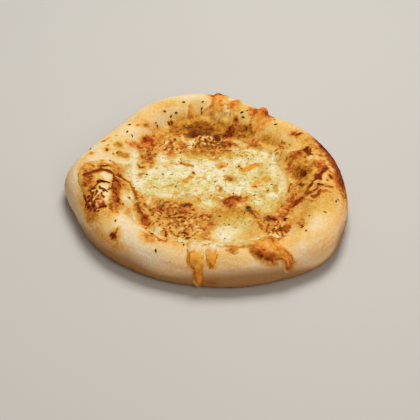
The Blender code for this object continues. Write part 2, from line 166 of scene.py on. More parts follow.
# A patch: x, y, half length, half width, turn, tone, redness, which is below 0 for an olive tint.
PATCHES = (
    # left: browned cheese over the rim
    (-105, -3, 8, 5, 95, 50, 10), (-98, 2.4, 6, 3, 10, 30, 0), (-105, -16.5, 5, 4, 90, 68, 70),
    (-106, -25, 6, 3, 95, 58, 60), (-102.4, -31, 7, 2.2, 105, 62, 50), (-100, -23, 6, 2, 95, 40, 0),
    (-107, -38, 7, 2.6, 110, 44, -80), (-101.4, -50, 8, 3.6, 115, 56, 70),
    (-95.6, -57.4, 5, 3.4, 115, 60, 40), (-80.6, 6, 5, 4, 0, 46, 20), (-92, 0, 3, 2, 0, 56, 0),
    (-97, -11.5, 5.4, 2.8, 62, 64, 50), (-90, -4.4, 6, 2.4, 12, 62, 50),
    (-79, -14, 11, 4.4, 90, 60, 50), (-79.6, -33, 10, 3.8, 92, 58, 40),
    (-78, -48, 9, 3.6, 90, 58, 30), (-79.4, -19, 8, 4.6, 80, 68, 80),
    (-79, -16.5, 4, 2.4, 90, 76, 50), (-80.6, -29, 3.4, 2.8, 90, 70, 50),
    (-77.4, -45, 4, 2.2, 90, 70, 20), (-76.4, -0.6, 3, 2.6, 0, 78, 20),
    (-70.5, -14, 9, 3.4, 88, 42, 0), (-89.6, -53, 5, 3, 100, 70, 90),
    (-80.6, -58, 6, 2.2, 90, 62, 10), (-76, -60, 7, 3.4, 90, 50, 10),
    (-66, -50, 11, 2.4, 72, 38, -10), (-97.6, -65, 8, 4, -60, 40, -30),
    (-59, -19.5, 5, 2.2, -75, 60, -40),
    # upper left
    (-97, 36.6, 2.6, 2.2, 60, 52, -50), (-93, 40, 3, 1.2, 30, 48, -50),
    (-86, 45, 2.4, 1.4, 60, 40, -60), (-82.4, 33, 5, 3.6, 0, 46, -90),
    (-80.4, 33, 1.8, 1.8, 0, 58, -50), (-75.4, 25.4, 6, 2.6, 8, 46, -70),
    (-92, 24, 2.4, 1.3, 100, 60, -50), (-91.6, 30, 1.4, 1.4, 0, 50, -50),
    (-106, 17, 1.6, 1.4, 0, 58, 0), (-65.5, 40.4, 8, 4.4, 22, 52, 40),
    (-53.6, 51, 9.6, 5.4, 55, 64, 80), (-48.6, 60, 4, 3, 60, 52, 40), (-55, 38, 6, 3, 70, 54, 20),
    (-50, 32, 6, 3.4, 90, 58, 30), (-47, 24, 4, 2.2, 90, 52, 10), (-45, 40, 4, 3, 80, 48, -20),
    (-55.6, 8.6, 4.6, 3.6, 10, 52, 0), (-57, 69, 3, 2.8, 0, 54, 20), (-65, 66, 2.2, 2, 0, 52, 10),
    (-29, 76, 6, 3, 35, 44, 10), (10, 69, 8, 4.4, 0, 76, -30),
    # rear: the steep wall, the runs and the knob; the wall's dark olive foot is browned, oily
    # cheese with painted shade in its crease
    (-10, 71, 8, 6, 80, 82, -50), (-8, 79, 15, 5, 0, 68, -70), (-16, 94, 6, 2.4, 95, 50, 10),
    (10, 116, 9, 4, 0, 60, 60), (9, 104, 9, 6, 80, 45, 60), (7, 95, 9, 6, 30, 39, 10),
    (14, 85, 9, 3, 0, 38, -30), (2, 84, 8, 4, 0, 42, -30), (12, 96, 5, 4, 60, 44, 0),
    (14, 93, 3, 2, 60, 48, 0), (25.4, 101, 7, 5, 85, 50, 60), (28, 93, 4, 3, 80, 40, 0),
    (53, 90, 12, 9, 20, 56, 80), (57, 94, 7, 6, 60, 58, 80), (47, 88, 4, 2.4, 70, 62, 60),
    (52, 75, 10, 7, 60, 44, 10), (20.4, 71.4, 6, 4.4, 60, 80, 60), (26.4, 79, 4, 3, 60, 58, 40),
    (20, 63, 11, 4.4, 95, 56, 60), (20, 56.6, 4.4, 3.4, 0, 62, 40),
    (33, 66, 4.4, 1.5, -30, 70, -50), (35, 72, 7, 4, -35, 58, -80), (-31, 43.6, 6, 3.8, 95, 58, 60),
    (-36, 49, 3, 1.6, 100, 74, 20), (-20.4, 51, 6.6, 3.6, 95, 58, 50),
    (-32, 54, 2.6, 2.2, 90, 70, -30), (8, 65, 6, 3.4, -60, 74, 0), (2, 52, 9, 2.4, -4, 62, 20),
    (-25, 71, 5, 4, 40, 54, 0), (43, 57, 6, 3.6, -40, 56, 60), (48, 53.6, 4, 1.8, -20, 58, 10),
    (8, 46, 16, 2, 0, 48, 0),
    # right
    (82, 57, 3.4, 2, 62, 66, 40), (80, 61, 3, 2, 60, 44, 20), (82.5, 28.4, 5.6, 4.6, 60, 60, 70),
    (78, 16.6, 7, 4, -65, 54, 40), (75, 10, 4, 2.6, -60, 48, 20), (86, 5, 9, 6, -65, 62, -80),
    (87.4, 2.6, 5.4, 3, -65, 82, -30), (98, 11, 3.4, 2.4, 80, 62, 20),
    (103.6, 9, 8, 4.6, 75, 58, 70), (112.4, -6.6, 3, 1.9, 110, 78, 50),
    (117, 21, 11, 4.4, 102, 62, 80), (112, 33, 9, 4, 115, 56, 60), (104, 43.6, 3, 2, -60, 62, 70),
    (105, 24, 2.6, 1.4, 0, 60, -50), (101.5, 34.4, 2.4, 1.6, 0, 60, -30),
    (78, -8, 8, 6, 60, 48, 10), (66, -35, 10, 4.4, 60, 52, 50), (63, -42, 5, 4, 60, 52, 40),
    (77, -24.6, 9, 4.6, -50, 53, 60), (81, -30.6, 5, 3, -20, 76, 60),
    (119.4, -10, 9, 3.6, 95, 62, 80), (118.5, -1, 2.6, 1.8, 0, 74, 60), (125, 6, 12, 3, 95, 76, 40),
    (126, 17, 3.6, 2.4, 95, 88, 20),
    # front right of the dish, and the scorched chain on its rim
    (42, -40, 8, 2.6, -57, 54, 0), (49, -56, 8, 4, -60, 50, 0), (55, -46, 6, 3.6, -10, 68, 40),
    (19.6, -26.6, 6, 4.4, 85, 61, 100), (25.4, -19.6, 6, 3.2, 8, 62, 90),
    (23, -31, 4, 2.6, 10, 64, 80), (25, -25, 6, 4, 10, 60, 90), (12, -8, 5, 3, -70, 50, 0),
    (34.4, -16.6, 4.4, 3, 20, 48, -10), (67.4, -54, 6, 1.8, 40, 56, 60),
    (67, -83, 4, 1.6, 95, 66, -30),
    # front left of the dish
    (-15.3, -30.6, 5.4, 2.6, 0, 72, 50), (-17, -38.4, 4, 3.4, 95, 60, 100),
    (-35, -36, 3.6, 2.6, 80, 62, 80), (-36.4, -33.4, 3, 1.8, 10, 72, 20),
    (-26, -27, 9, 2, 3, 58, 0), (-48.6, -49, 6, 3.6, -70, 62, 60), (0.6, -45, 6, 4, 10, 54, 20),
    (3, -56, 7, 3.4, 20, 48, 30), (1.6, -63, 3.4, 7, 0, 58, 20), (-5.5, -25, 3.6, 3, 80, 44, -50),
    (-54, -24, 4.6, 3.4, 90, 52, 10), (-54, -38, 3.4, 7, 0, 60, 10),
    # dish
    (13.3, 24.6, 4.4, 3.4, 0, 49, -30), (19.6, 5.6, 4, 3, 0, 42, 0),
    (20, 5.4, 2.6, 1.8, 0, 62, -60), (52, 7, 4, 3.4, 0, 52, -30), (-17.4, 0.6, 3, 2.6, 40, 42, -40),
    (44.6, 0.4, 4, 3, 50, 48, 0), (8.6, 35.4, 2.2, 1.5, -20, 56, -30),
    (60.4, -6, 6, 2.4, 88, 34, -100), (46.5, 26, 5, 2.8, 85, 30, -100),
    (-26, -4, 8, 1.6, 0, 32, -100), (20, 38, 4, 2.6, 80, 42, -60), (-25, -15, 3.6, 2, 90, 36, -60),
    # front: cheese at and over the crest
    (-47, -97, 6.6, 3.4, -62, 49, 0), (-7.2, -122.4, 6.4, 6, -10, 30, 0),
    (6.6, -122.4, 8, 6, 100, 30, 0), (-1, -124, 6, 4, 20, 34, 0), (-2, -137, 8, 3.4, 88, 46, 60),
    (-7, -134, 6, 1.4, 90, 40, -30), (7.4, -127, 4, 2, -30, 50, 50), (24.6, -112, 5, 3, 8, 52, 30),
    (47, -110.4, 8, 4.6, -38, 52, 70), (56, -113.6, 7, 4.4, 0, 52, 70),
    (68, -110.6, 7, 4.4, -40, 46, 50), (75, -118, 6.4, 4, -60, 50, 70),
    (56, -101, 9, 6, 80, 47, 20), (59, -96, 6, 4, 40, 52, 20), (25, 55, 6, 4, 0, 60, 10),
    (-29, 79.6, 5, 3, 30, 58, -30), (-2, -148, 3.6, 3, 0, 26, 30),
    (8.5, -141.5, 5.4, 1.8, 0, 54, 50), (57, -119.4, 7, 2.4, 0, 46, 30),
    (51, -115, 6, 2.2, -20, 66, 90), (-60, -60, 11, 6, -45, 24, 0), (65, -109, 3.4, 2, 0, 52, 10),
    (43.4, -110, 3, 2.4, 0, 60, 40),
    # crust: the burnt spot and its scorched surround
    (-80, -97, 6, 2.6, -58, 38, 10), (-77, -91.5, 2.8, 2.4, -50, 56, 20),
)
# Oily golden cheese: x, y, half length, half width, turn, how golden.
GOLD = (
    (-6.8, -122, 8, 6.4, 80, 90), (7.6, -122, 8, 4.6, 96, 95), (-2, -137, 9, 3.4, 88, 70),
    (10, 104, 10, 7, 80, 60), (7, 95, 10, 7, 30, 50), (26, 101, 8, 5, 85, 50),
    (52, 80, 10, 7, 60, 50), (53, 92, 10, 8, 20, 60), (-16, 94, 6, 2.4, 95, 50),
    (56, -103, 11, 6, 0, 60), (70, -112, 10, 5, -40, 80), (77, -120, 7, 4, -60, 80),
    (50, -112, 8, 4, -30, 50), (13.3, 24.6, 4, 3, 0, 60), (36, 20.6, 8, 3, 25, 60),
    (-15.4, 4, 5, 3, 58, 60), (44.6, 0.4, 4, 3, 50, 60), (52, 7, 4, 3.4, 0, 60),
)
# Thick places of the melted cheese: x, y, radius, height.
SWELLS = (
    (50, 90, 8, 1.4), (52, 94, 9, 1.6), (27, 108, 6, -0.8), (46, -109.5, 5, 1.5),
    (53, -112.5, 5, 1.6), (59, -112.5, 4, 1.4), (68, -111, 5, 1.2), (75, -118, 4.4, 1.6),
    (-8.4, -119, 6, 1), (6, -120, 6, 1), (-4, -137, 5, 1), (-95, -12, 8, 0.8), (-78, -20, 8, 0.8),
    (86, 26, 9, 1), (104, 6, 7, 0.8), (78, -8, 8, 1), (-54, 51, 7, 0.8), (20, 62, 7, 0.8),
)
# A stroke: width, tone, redness, then x and y of each of its points.
STROKES = (
    # the browned rims of the lobes and of the drip at the front
    (1.2, 60, 60, -11.6, -116.4, -11.2, -121, -9.6, -126.4, -6.6, -128.6),
    (0.9, 58, 60, 11.4, -116.6, 11.2, -121, 9.2, -126, 6.8, -128.4),
    (2.2, 56, 50, -6.6, -131, -5.4, -137, -1, -144), (2, 60, 30, 4, -141.4, 8, -142, 12, -141.8),
    (2.6, 50, 20, 1.4, -105.6, 4.6, -107.4),
    # left: the dark ring and the shreds by it
    (3.8, 76, 50, -108, -15.6, -103, -14.4, -98.4, -9.4, -93, -4.6, -88.6, -3.6, -84, -3.4),
    (2.4, 72, 30, -84, -3, -79, -2, -75.4, -1),
    (7, 57, 40, -80, -9, -79, -18, -78.6, -32, -77.8, -45),
    (1.8, 76, 0, -94, 0.2, -91, 1.4, -87, 2.4), (1.4, 60, 0, -94, 7, -91.6, 6.6),
    (2.4, 84, 20, -75.4, 0.4, -73.4, -1), (2.8, 70, 0, -71.6, -1, -68, -1.4, -65, -1.6),
    (2.2, 60, 0, -64, -4, -62.4, -10, -60.6, -15), (2, 82, 20, -81.8, -5, -83, -13, -83, -21),
    (1.6, 74, 30, -83, -24, -82.6, -31, -81.6, -38), (3.4, 90, 10, -95, -26.6, -92.8, -25),
    (2.8, 88, 10, -91.6, -24.4, -89, -24.2, -86.6, -23.4),
    (1.7, 74, 10, -95, -28.6, -96.6, -33, -97.8, -36),
    (1.8, 72, 0, -61, 20, -57.5, 19.4, -54, 20.4), (2, 84, 30, -91, -57.2, -86.6, -57),
    (1.3, 54, 0, -79, 22, -73, 22.6, -70, 27),
    # rear
    (2.2, 40, 10, -5, 92.6, 0, 96.4, 4, 99.6), (3.2, 88, 0, 7, 67, 8.4, 65),
    (2.6, 82, 0, 10.6, 64.6, 11.4, 61.4), (2.2, 78, 0, -1.4, 62, -0.4, 58.4),
    (1.8, 66, 0, 13, 46.6, 18, 46, 22, 46.6), (1.8, 66, 10, 2, 54, 1.4, 50),
    (1.8, 66, 10, 5, 52.6, 5.4, 48.6), (1.6, 66, 30, 46, 91, 48.6, 97, 53, 100),
    (1.4, 50, 10, 5, 98, 6, 105, 7.4, 110), (1.8, 60, 0, -34.6, 61, -32.6, 58.6),
    # right
    (2.4, 76, 10, 84, 53.4, 86.6, 55.6, 89, 58.4), (4.6, 80, 20, 90.4, 32.6, 92.6, 36.4),
    (5, 78, 30, 93, 29.6, 94.6, 25), (2.4, 74, 20, 95.4, 34, 96, 31),
    (2.2, 72, 20, 84.6, 32, 87, 33), (4.8, 76, 50, 99.6, -10, 101.6, -5.6, 105, 0, 109.4, 6),
    (1.8, 66, 10, 76, -2, 73, -6, 72, -12), (4, 60, 30, 99, -11, 94.6, -15, 90.4, -20, 88, -24.4),
    (2.2, 76, 30, 98.6, -11.6, 96, -13.6), (2.4, 76, 20, 94, -16, 92, -19),
    (2.2, 72, 20, 89.6, -22, 88, -25), (2.8, 74, 0, 84, -10, 87, -13.6),
    (3.4, 86, 10, 101, -19.6, 103.6, -18.4), (2.6, 78, 20, 98, -23, 96, -25.4),
    (2.6, 74, 20, 93, -27, 90.4, -28.6), (3.6, 52, 20, 102, -20, 97, -25, 88, -30),
    (2.8, 66, 20, 101, -26, 98, -29.6, 93, -31.6),
    (1.5, 52, 0, 86, -33, 91, -35.6, 96, -35, 100, -32), (2.8, 62, 0, 107, -20, 112, -20),
    (2.8, 60, 0, 104, -27, 109, -28), (5.6, 60, 90, 82.4, -28.4, 78, -27, 73, -28),
    (3, 76, 70, 82.6, -27.6, 79.6, -27.6),
    # front right of the dish, and the scorched chain on its rim
    (2.6, 84, 20, 53, -44.4, 56.4, -45.6), (2.2, 80, 20, 51, -47.6, 53.6, -48.4),
    (2.4, 86, 20, 57.6, -47.2, 60, -47.6), (1.8, 72, 10, 50, -44, 49, -46),
    (2.8, 92, 0, 66.5, -46.4, 66.9, -49), (2.8, 90, 20, 35.8, -32, 36.3, -34.8),
    (2, 70, 0, 38, -36, 40.4, -40, 43, -44), (1.8, 70, 80, 16.4, -28, 18, -22, 24, -18.6, 30, -18),
    (2.2, 54, 50, 76.6, -50.6, 79, -57, 81.4, -64, 82.4, -71),
    (1.8, 48, 40, 80.6, -50, 83.4, -58, 84.4, -66), (2.2, 70, 30, 81.4, -64.6, 82, -69),
    (1.8, 62, 10, 57, -62, 62, -57.6, 66, -54.6, 71, -52),
    # front left of the dish
    (2.6, 84, 10, -17, -31, -14.4, -30.6), (2.2, 72, 10, -60, -19, -58.4, -24),
    (2.4, 74, 10, -56.4, -32, -55, -38, -52, -46),
    (1.6, 66, 0, -29.6, -55.6, -26, -54.4, -22.4, -52.4), (2, 72, 10, -32.4, -66, -31, -70),
    (3, 84, 0, -23.4, -70.6, -21.4, -71.6), (2.2, 82, 0, -17.2, -66, -14, -66.8),
    (2.4, 84, 0, -14.6, -73.8, -11, -73), (2.6, 80, 10, -21.4, -47.6, -18.4, -47),
    (2, 78, 10, -26.6, -47.6, -24, -47.4), (2, 76, 10, -31, -47, -28.4, -46.4),
    (2.2, 82, 0, -37.4, -41, -35.6, -42.8),
    # dish
    (5.2, 48, 0, 30.6, 18.8, 35.6, 20), (4.2, 47, 0, 35.6, 20, 39.6, 23, 43.6, 26.4),
    (1.9, 82, 0, 28.4, 24.8, 28.7, 23), (2, 72, 0, -21, 28, -18.4, 26.4),
    (3.4, 52, 0, -18, 26, -12, 22.6), (1.4, 66, 0, 40, -4.5, 43, -4.2),
    (2.2, 78, 0, 52.2, -9, 52.5, -6.6), (4.6, 48, 0, -17.6, 0.8, -13.4, 7.4),
    (1.8, 70, 0, -10.6, 12.8, -9.6, 12), (1.6, 50, 0, -45, -5, -40, -9),
    # front
    (1.5, 47, 10, 18, -109.4, 28, -107.8, 34, -107.4, 41, -106),
    (1.2, 46, 20, -14, -111, -11, -115, -7, -115.4),
    (1.2, 46, 30, -11.4, -115, -11, -120, -10.4, -124),
    (1.8, 62, 60, 44, -112, 48, -115, 53, -116.6, 57, -116.6),
    (1.5, 58, 50, 62, -115.6, 66, -115, 70, -117, 73, -121),
    (1.6, 56, 20, 62, -106.4, 68, -106, 73, -109.6, 78, -115), (3, 50, 20, 0.8, -88, -0.4, -96),
    (1.3, 62, 0, -48.4, -55, -47, -78, -44.6, -92, -38.4, -101, -32, -102, -30.3, -95.4),
    # crust: the burnt spot
    (2.6, 86, 30, -79, -89.4, -77, -91.6, -75.4, -94.4), (1.8, 80, 20, -79.4, -93.6, -75.4, -89),
    (1.2, 66, 10, -75.4, -89, -74.2, -86),
)
# Dark dots: diameter, length to width, which way they lie, tone, then x and y of each.
DOTS = (
    (3.2, 1.4, 112, 84, -98.3, -36.8, -92, -37.8, -102.5, -43.5, -98.5, -47, -101, -49.4, -102, -54,
     -97.5, -54.4, -94.8, -60),
    (2.4, 1.8, 112, 82, -95.5, -43.8, -93, -47.2, -95, -52, -99.6, -57.6, -104.5, -46, -101, -39,
     -105, -50, -92, -62, -93, -35, -96, -41, -90, -40, -94.6, -49.4, -99, -42, -91, -44.6, -88.6,
     -38.4, -78.6, -37, -76.4, -41.6, -79, -52, -84.6, -33),
    (2, 1.3, 90, 78, -83.3, -49, -86, -36.2, -86.8, 8.8, -84, 20.6, -64.8, -29, -71, -43.6, -89,
     -46, -67, -30.6, -19.2, -64.4, -16.2, -70.4, -17.2, -52.6, -21.7, -55.2, -16.2, -48.4, -10.8,
     -55.8, -24.2, -67, -26.8, -68, -6.8, -74.2, 3.6, -46, 12.8, -43.4, -39, -53, -5.6, 54.6, -12.6,
     -67.6, -6.2, -67.6, -20.6, -58, -12, -59.4, -28.4, -60.4, -33.6, -62.4, -30.4, -40.6, -24, -34,
     -28, -31, -43, -44, -45, -37, -41, -34, -22.6, -42, -8.6, -36, 90.5, 21, 108.3, -12, 116.6,
     -34.4, 60.7, -50.2, 62.4, -57.8, 59.4, -61.6, 52.8, -54.6, 51.3, -61.2, 88.9, -56.4, 86.7,
     -82.6, 70, -56, -8.8, 51, 14, 58, 5.4, 57, -15, 47, 11, 50, -28, 60, -24, 66, -5.5, 92.6, -33,
     82, -35, 80.4, -45.4, 73.6, -45, 71.6),
    (1.6, 1.3, 90, 74, -26, -58, -23, -61, -29, -57, -31, -60, -27, -64, -20, -67, -9, -64, -5, -61,
     -2, -68, -14, -62, -8, -70, -18, -73, -28, -73, -15, -57, -6, -56, 0, -60, -36, -58, -33, -54,
     -38, -48, -33, -46, -46, -52, -42, -56, -41, -39, -25, -43, -21, -36, -30, -36, -12, -44, -8,
     -48, -2, -49, 4, -42, 57, -58, 60, -64.6, 64, -60.6, 54, -64, 66.4, -57.4, 46, -58, 49, -50,
     45, -50),
)
# Pale places on top of the patches, pale cheese and painted highlights: x, y, half length, half
# width, turn, how pale.
PALE_AND_HIGHLIGHTS = (
    (-88.6, -12.4, 7, 4, 40, 80), (-87.4, -18, 7, 3, 90, 70), (-90, -32, 6, 4, 100, 70),
    (-87.4, -42, 9, 3.4, 95, 80), (-93.6, -42, 3, 1.6, 110, 70), (-77.6, -4.4, 3, 2, 0, 70),
    (-87, 0, 4, 1, 8, 60), (-69, -33, 10, 4, 86, 60), (-60, 1, 10, 3.4, 100, 100),
    (-64, 16, 9, 3.6, 75, 90), (-64, -28, 3, 9, 0, 60), (-57, -4, 5, 4, 90, 100),
    (-66, 32, 7, 3, 80, 70), (-24, 23, 5, 3.6, 70, 100), (17, -67, 13, 8, 0, 75),
    (-86, -50, 4, 2, 95, 60), (-86, -30, 5, 2.4, 90, 50), (-39, -64.6, 5, 2.4, 30, 90),
    (-37, -80, 4, 10, 10, 70), (-6, 14, 6, 4, 30, 70), (-49, -38, 4, 2, 100, 50),
    (-46, -24, 6, 2, 80, 60), (17.8, 98, 9, 1.7, 107, 70), (11, 88.6, 5, 3, 20, 55),
    (3, 100, 3, 2, 60, 40), (8.6, 101, 6, 1, 76, 50), (0.6, 100, 6, 1.2, 60, 70),
    (-19.4, 97, 6, 1.6, 90, 60), (-2, 64, 3.4, 2, 30, 60), (-12, 57.6, 6, 4, 80, 80),
    (-20.6, 62.4, 6, 1.5, 112, 70), (-5, 64, 3.4, 2, 0, 50), (-15, 50, 4, 2.4, 80, 60),
    (4, 64, 3.4, 1.6, 100, 70), (31.8, 53.4, 3.4, 3, 0, 70), (28, 60, 5, 3, -40, 70),
    (-35, 58, 3, 1.4, 60, 50), (-26, 47, 6, 2, 95, 40), (-38, 34, 5, 6, 0, 90),
    (-22, 39, 4, 3, 0, 60), (-37, 85, 5, 3, 0, 50), (-88, 6.4, 4, 2, 0, 60), (25, 48, 5, 4, 0, 60),
    (95.6, 19.4, 4, 2.4, 80, 70), (60, 34, 7, 4, 60, 60), (92, -21, 7, 1.1, 38, 70),
    (96.6, -27.2, 7, 0.9, 38, 60), (68, 8, 14, 3.6, 97, 60), (76, 1.4, 4, 1.6, -60, 60),
    (99, 3, 3, 1.4, 80, 50), (28, -11, 5, 3, 0, 80), (29, -29, 4, 3, 30, 60),
    (-32, -18, 9, 2.6, 0, 70), (14, 18, 8, 3, 20, 70), (64, -54, 4, 1.6, 50, 40),
    (-4, -111.4, 7, 2.2, 0, 30), (8, -112.4, 5, 2.2, 0, 30), (2.2, -119, 1.6, 3, 0, 50),
    (-6, -129, 2, 1.2, 90, 50), (-42, 16, 8, 4, 30, 80), (30, 33, 8, 4, 0, 70),
    (-8, -12, 7, 4, 40, 70), (48, 34, 6, 4, 20, 70), (3, 28, 5, 3, 0, 70), (59, 18, 8, 4, 80, 70),
    (65.6, -60.4, 2, 1.2, 0, 60), (60, -60, 2.6, 0.9, 40, 50),
)
# Clusters of shreds: x, y, half length, half width, turn, way they lie, count, tone, thickness.
CLUSTERS = (
    (-99, -48, 14, 6, 112, 100, 8, 82, 1.5), (-97, -46, 14, 7, 112, 112, 10, 10, 1.5),
    (-78, -42, 12, 3, 90, 90, 6, 74, 1.4), (-18, -60, 18, 9, 0, 80, 8, 74, 1.3),
    (-34, -42, 15, 9, 0, 80, 14, 70, 1.3), (-18, -42, 14, 6, 0, 70, 8, 72, 1.3),
    (-8, -50, 10, 7, 0, 70, 7, 66, 1.3), (2, 57, 15, 8, 0, 80, 30, 80, 1.1),
    (3, 60, 14, 7, 0, 90, 22, 12, 1.3), (-16, -62, 20, 12, 0, 60, 12, 19, 1.6),
    (-30, 52, 13, 8, 0, 90, 8, 72, 1.5), (-30, 50, 10, 8, 0, 80, 6, 10, 1.6),
    (-52, 38, 14, 6, 70, 80, 9, 68, 1.5), (88, -10, 14, 9, 60, 120, 9, 64, 1.5),
    (82, 16, 16, 9, -75, 120, 14, 68, 1.6), (105, 10, 9, 6, 80, 80, 6, 72, 1.6),
    (112, 14, 14, 5, 95, 100, 7, 68, 1.4), (24, -40, 14, 11, 0, 80, 20, 52, 1.2),
    (-54, -36, 10, 4, 95, 100, 5, 72, 1.4), (52, -55, 11, 8, -60, 80, 10, 64, 1.4),
    (60, -60, 9, 4, 42, 80, 9, 74, 1.4), (60, -61, 9, 4, 42, 60, 8, 8, 1.3),
    (24, 46, 24, 5, -20, 90, 14, 54, 1.4), (-27, 78, 12, 4, 25, 60, 4, 56, 1.4),
    (31, 74, 10, 6, 0, 120, 8, 70, 1.5), (-80, 34, 18, 10, 90, 60, 8, 46, 1.4),
    (70, 42, 8, 5, 40, 120, 8, 60, 1.4), (10, 98, 12, 7, 0, 80, 8, 52, 1.3),
    (57, -103, 9, 5, -20, 70, 4, 54, 1.4), (66, 44, 8, 4, 40, 100, 5, 68, 1.5),
    (4, 6, 60, 34, 0, 20, 70, 46, 1.1), (4, 8, 58, 30, 0, 35, 60, 6, 2),
)

# ---------------------------------------------------------------- fineness
HALF = 165.0                # half width of the flat square that marks are kept on
CELL = 0.5
CELLS = int(2 * HALF / CELL) + 1
EDGE_POINTS = 3600          # round the edge of the cheese, to measure from
COLUMNS = 880               # of the crust's mesh
SKIN_SPACING, SLOPE_LENGTH = 0.86, 32.0
HIDDEN_STATIONS = (-1.7, -1.3, -1.0)    # rings of the crust below the cheese
CHEESE_SPACING = 0.65
UNDERSIDE_BLOCK = 4         # the cheese's underside is this many times coarser, away from its edge
CHEESE_MARGIN = 1.6         # how far the cheese's mesh reaches past its edge
CHEESE_DEPTH = 1.4          # how far its underside lies below the dough's surface
EDGE_ROUNDING = 5.0
EDGE_FADE = 9.0, 4.0        # width where its tone turns into the crust's: in the dish, on the rim
GROUND_SOFT = 0.8           # how softly a ground's regions end
HALO, HALO_FROM = 2.4, 53   # width of a mark's golden surround, and the tone above which it has one
APART, TRIES = 3.0, 12      # least distance between a cluster's shreds, and tries to keep it
BEND = 0.35                 # how much shreds bend, in radians
WARP = 3.0                  # room round a mark for the noise that shifts its edge
PALE_BELOW, PALE_TONE = 20, 0.06        # a cluster below this is pale, and the tone of the pale places and painted highlights
UNREST, CRUST_UNREST = 0.24, 0.13       # how much the tone of browned places wavers
FOOT_FILL = 1.6             # extra cheese where the slope meets the dish's floor


# ---------------------------------------------------------------- shape
def around(values, angle):
    """Smooth curve through values that are evenly spaced round the bread, starting at +X."""
    values = np.asarray(values, float)
    count = len(values)
    place = np.asarray(angle, float) % math.tau / math.tau * count
    start = np.floor(place).astype(int)
    f = place - start
    a, b, c, d = (values[(start + k) % count] for k in (-1, 0, 1, 2))
    return 0.5 * (2 * b + (c - a) * f + (2 * a - 5 * b + 4 * c - d) * f**2
                  + (3 * b - a - 3 * c + d) * f**3)


def rim(angle):
    """The outer reach, the crest's height and the inner slope's width at an angle."""
    bumps = sum(high * np.sin(n * angle + phase) for n, high, phase in BUMPS)
    crest = around(CREST_EVERY_45, angle) + bumps
    return around(REACH_EVERY_20, angle), crest, around(SLOPE_EVERY_45, angle)


def section(angle, station):
    """Distance from the middle and height of a place on the bread."""
    reach, crest, slope = rim(angle)
    inner = reach - SHOULDER
    foot = inner - slope
    down = np.clip(-station, 0, 1)
    dish_r = foot * np.clip(station + 2, 0, 1) - slope * (down - 1)
    dish_z = DISH_FLOOR + (crest - DISH_FLOOR) * (1 - down**2) ** SLOPE_POWER
    out = np.clip(station, 0, 1) * math.pi / 2
    wall_r = inner + SHOULDER * np.sin(out)
    wall_z = WIDEST_HEIGHT + (crest - WIDEST_HEIGHT) * np.cos(out)
    under = np.clip(station - 1, 0, 1) * math.pi / 2
    base_r = reach - UNDERCUT * (1 - np.cos(under))
    base_z = WIDEST_HEIGHT * (1 - np.sin(under))
    r = np.where(station < 0, dish_r, np.where(station < 1, wall_r, base_r))
    z = np.where(station < 0, dish_z, np.where(station < 1, wall_z, base_z))
    return r, z


def on_bread(angle, station, proud=0.0, step=NORMAL_STEP):
    """Points on the dough, or proud of it along its normal, in metres, as rows of x, y, z.
    The larger the step, the more slowly the normal turns."""
    angle, station = np.broadcast_arrays(np.asarray(angle, float), np.asarray(station, float))
    r, z = section(angle, station)
    outer_r, outer_z = section(angle, station + step)
    inner_r, inner_z = section(angle, station - step)
    along_r, along_z = outer_r - inner_r, outer_z - inner_z
    length = np.hypot(along_r, along_z)
    r = r - proud * along_z / length
    z = z + proud * along_r / length
    return np.stack((r * np.cos(angle) - MIDDLE[0], r * np.sin(angle) - MIDDLE[1], z), axis=-1) * MM


def lengths(angle):
    """Lengths along the section at an angle: of the dish's floor and of the inner slope."""
    reach, crest, slope = rim(angle)
    return reach - SHOULDER - slope, SLOPE_STRETCH * np.hypot(slope, crest - DISH_FLOOR)


def spread_at(angle, station):
    """Distance along the surface from the middle of the dish, out to a station."""
    foot, ramp = lengths(angle)
    return (foot * np.clip(station + 2, 0, 1) + ramp * np.clip(station + 1, 0, 1)
            + SHOULDER_ARC * np.clip(station, 0, 1) + UNDERCUT_ARC * np.clip(station - 1, 0, 1))


def station_at(angle, spread):
    """The station that lies a given distance along the surface from the middle."""
    foot, ramp = lengths(angle)
    past = spread - foot - ramp
    return (-2 + np.clip(spread / foot, 0, 1) + np.clip((spread - foot) / ramp, 0, 1)
            + np.clip(past / SHOULDER_ARC, 0, 1)
            + np.clip((past - SHOULDER_ARC) / UNDERCUT_ARC, 0, 1))


def cheese_edge(angle):
    """The station of the cheese's edge at an angle, with a rounded tongue at each run."""
    edge = around(EDGE_EVERY_15, angle)
    sides, tip = TONGUE_SHAPE
    widest = edge
    for centre, half_width, end in RUNS:
        off = (np.degrees(angle) - centre + 180) % 360 - 180
        tongue = np.clip(1 - (np.abs(off) / half_width) ** sides, 0, 1) ** tip
        widest = np.maximum(widest, edge + (end - edge) * tongue)
    return widest


# ---------------------------------------------------------------- fields on the flat surface
NOISE = np.random.default_rng(3).random((256, 256)) * 2 - 1


def smooth(t):
    """0 below 0, 1 above 1, and a smooth rise between."""
    t = np.clip(t, 0, 1)
    return t * t * (3 - 2 * t)


def rise(values, start, width):
    """0 up to a start, 1 past it by a width, and a smooth rise between."""
    return smooth((values - start) / width)


def noise(x, y, size, layer=0, stretch=1.0):
    """Smooth seeded noise between -1 and 1, its lumps about size across and stretched along x."""
    turn = 0.61 * layer if stretch == 1.0 else 0.0
    u = (x * math.cos(turn) + y * math.sin(turn)) / size / stretch + 37.7 * layer
    v = (y * math.cos(turn) - x * math.sin(turn)) / size + 91.3 * layer
    i, j = np.floor(u).astype(int), np.floor(v).astype(int)
    f, g = smooth(u - i), smooth(v - j)
    near = NOISE[j % 256, i % 256] * (1 - f) + NOISE[j % 256, (i + 1) % 256] * f
    far = NOISE[(j + 1) % 256, i % 256] * (1 - f) + NOISE[(j + 1) % 256, (i + 1) % 256] * f
    return near * (1 - g) + far * g


def rough(x, y, size, layer=0):
    """Noise in three sizes, each half as large and half as strong as the one before."""
    return (noise(x, y, size, layer) + 0.5 * noise(x, y, size / 2, layer + 1)
            + 0.25 * noise(x, y, size / 4, layer + 2)) / 1.75


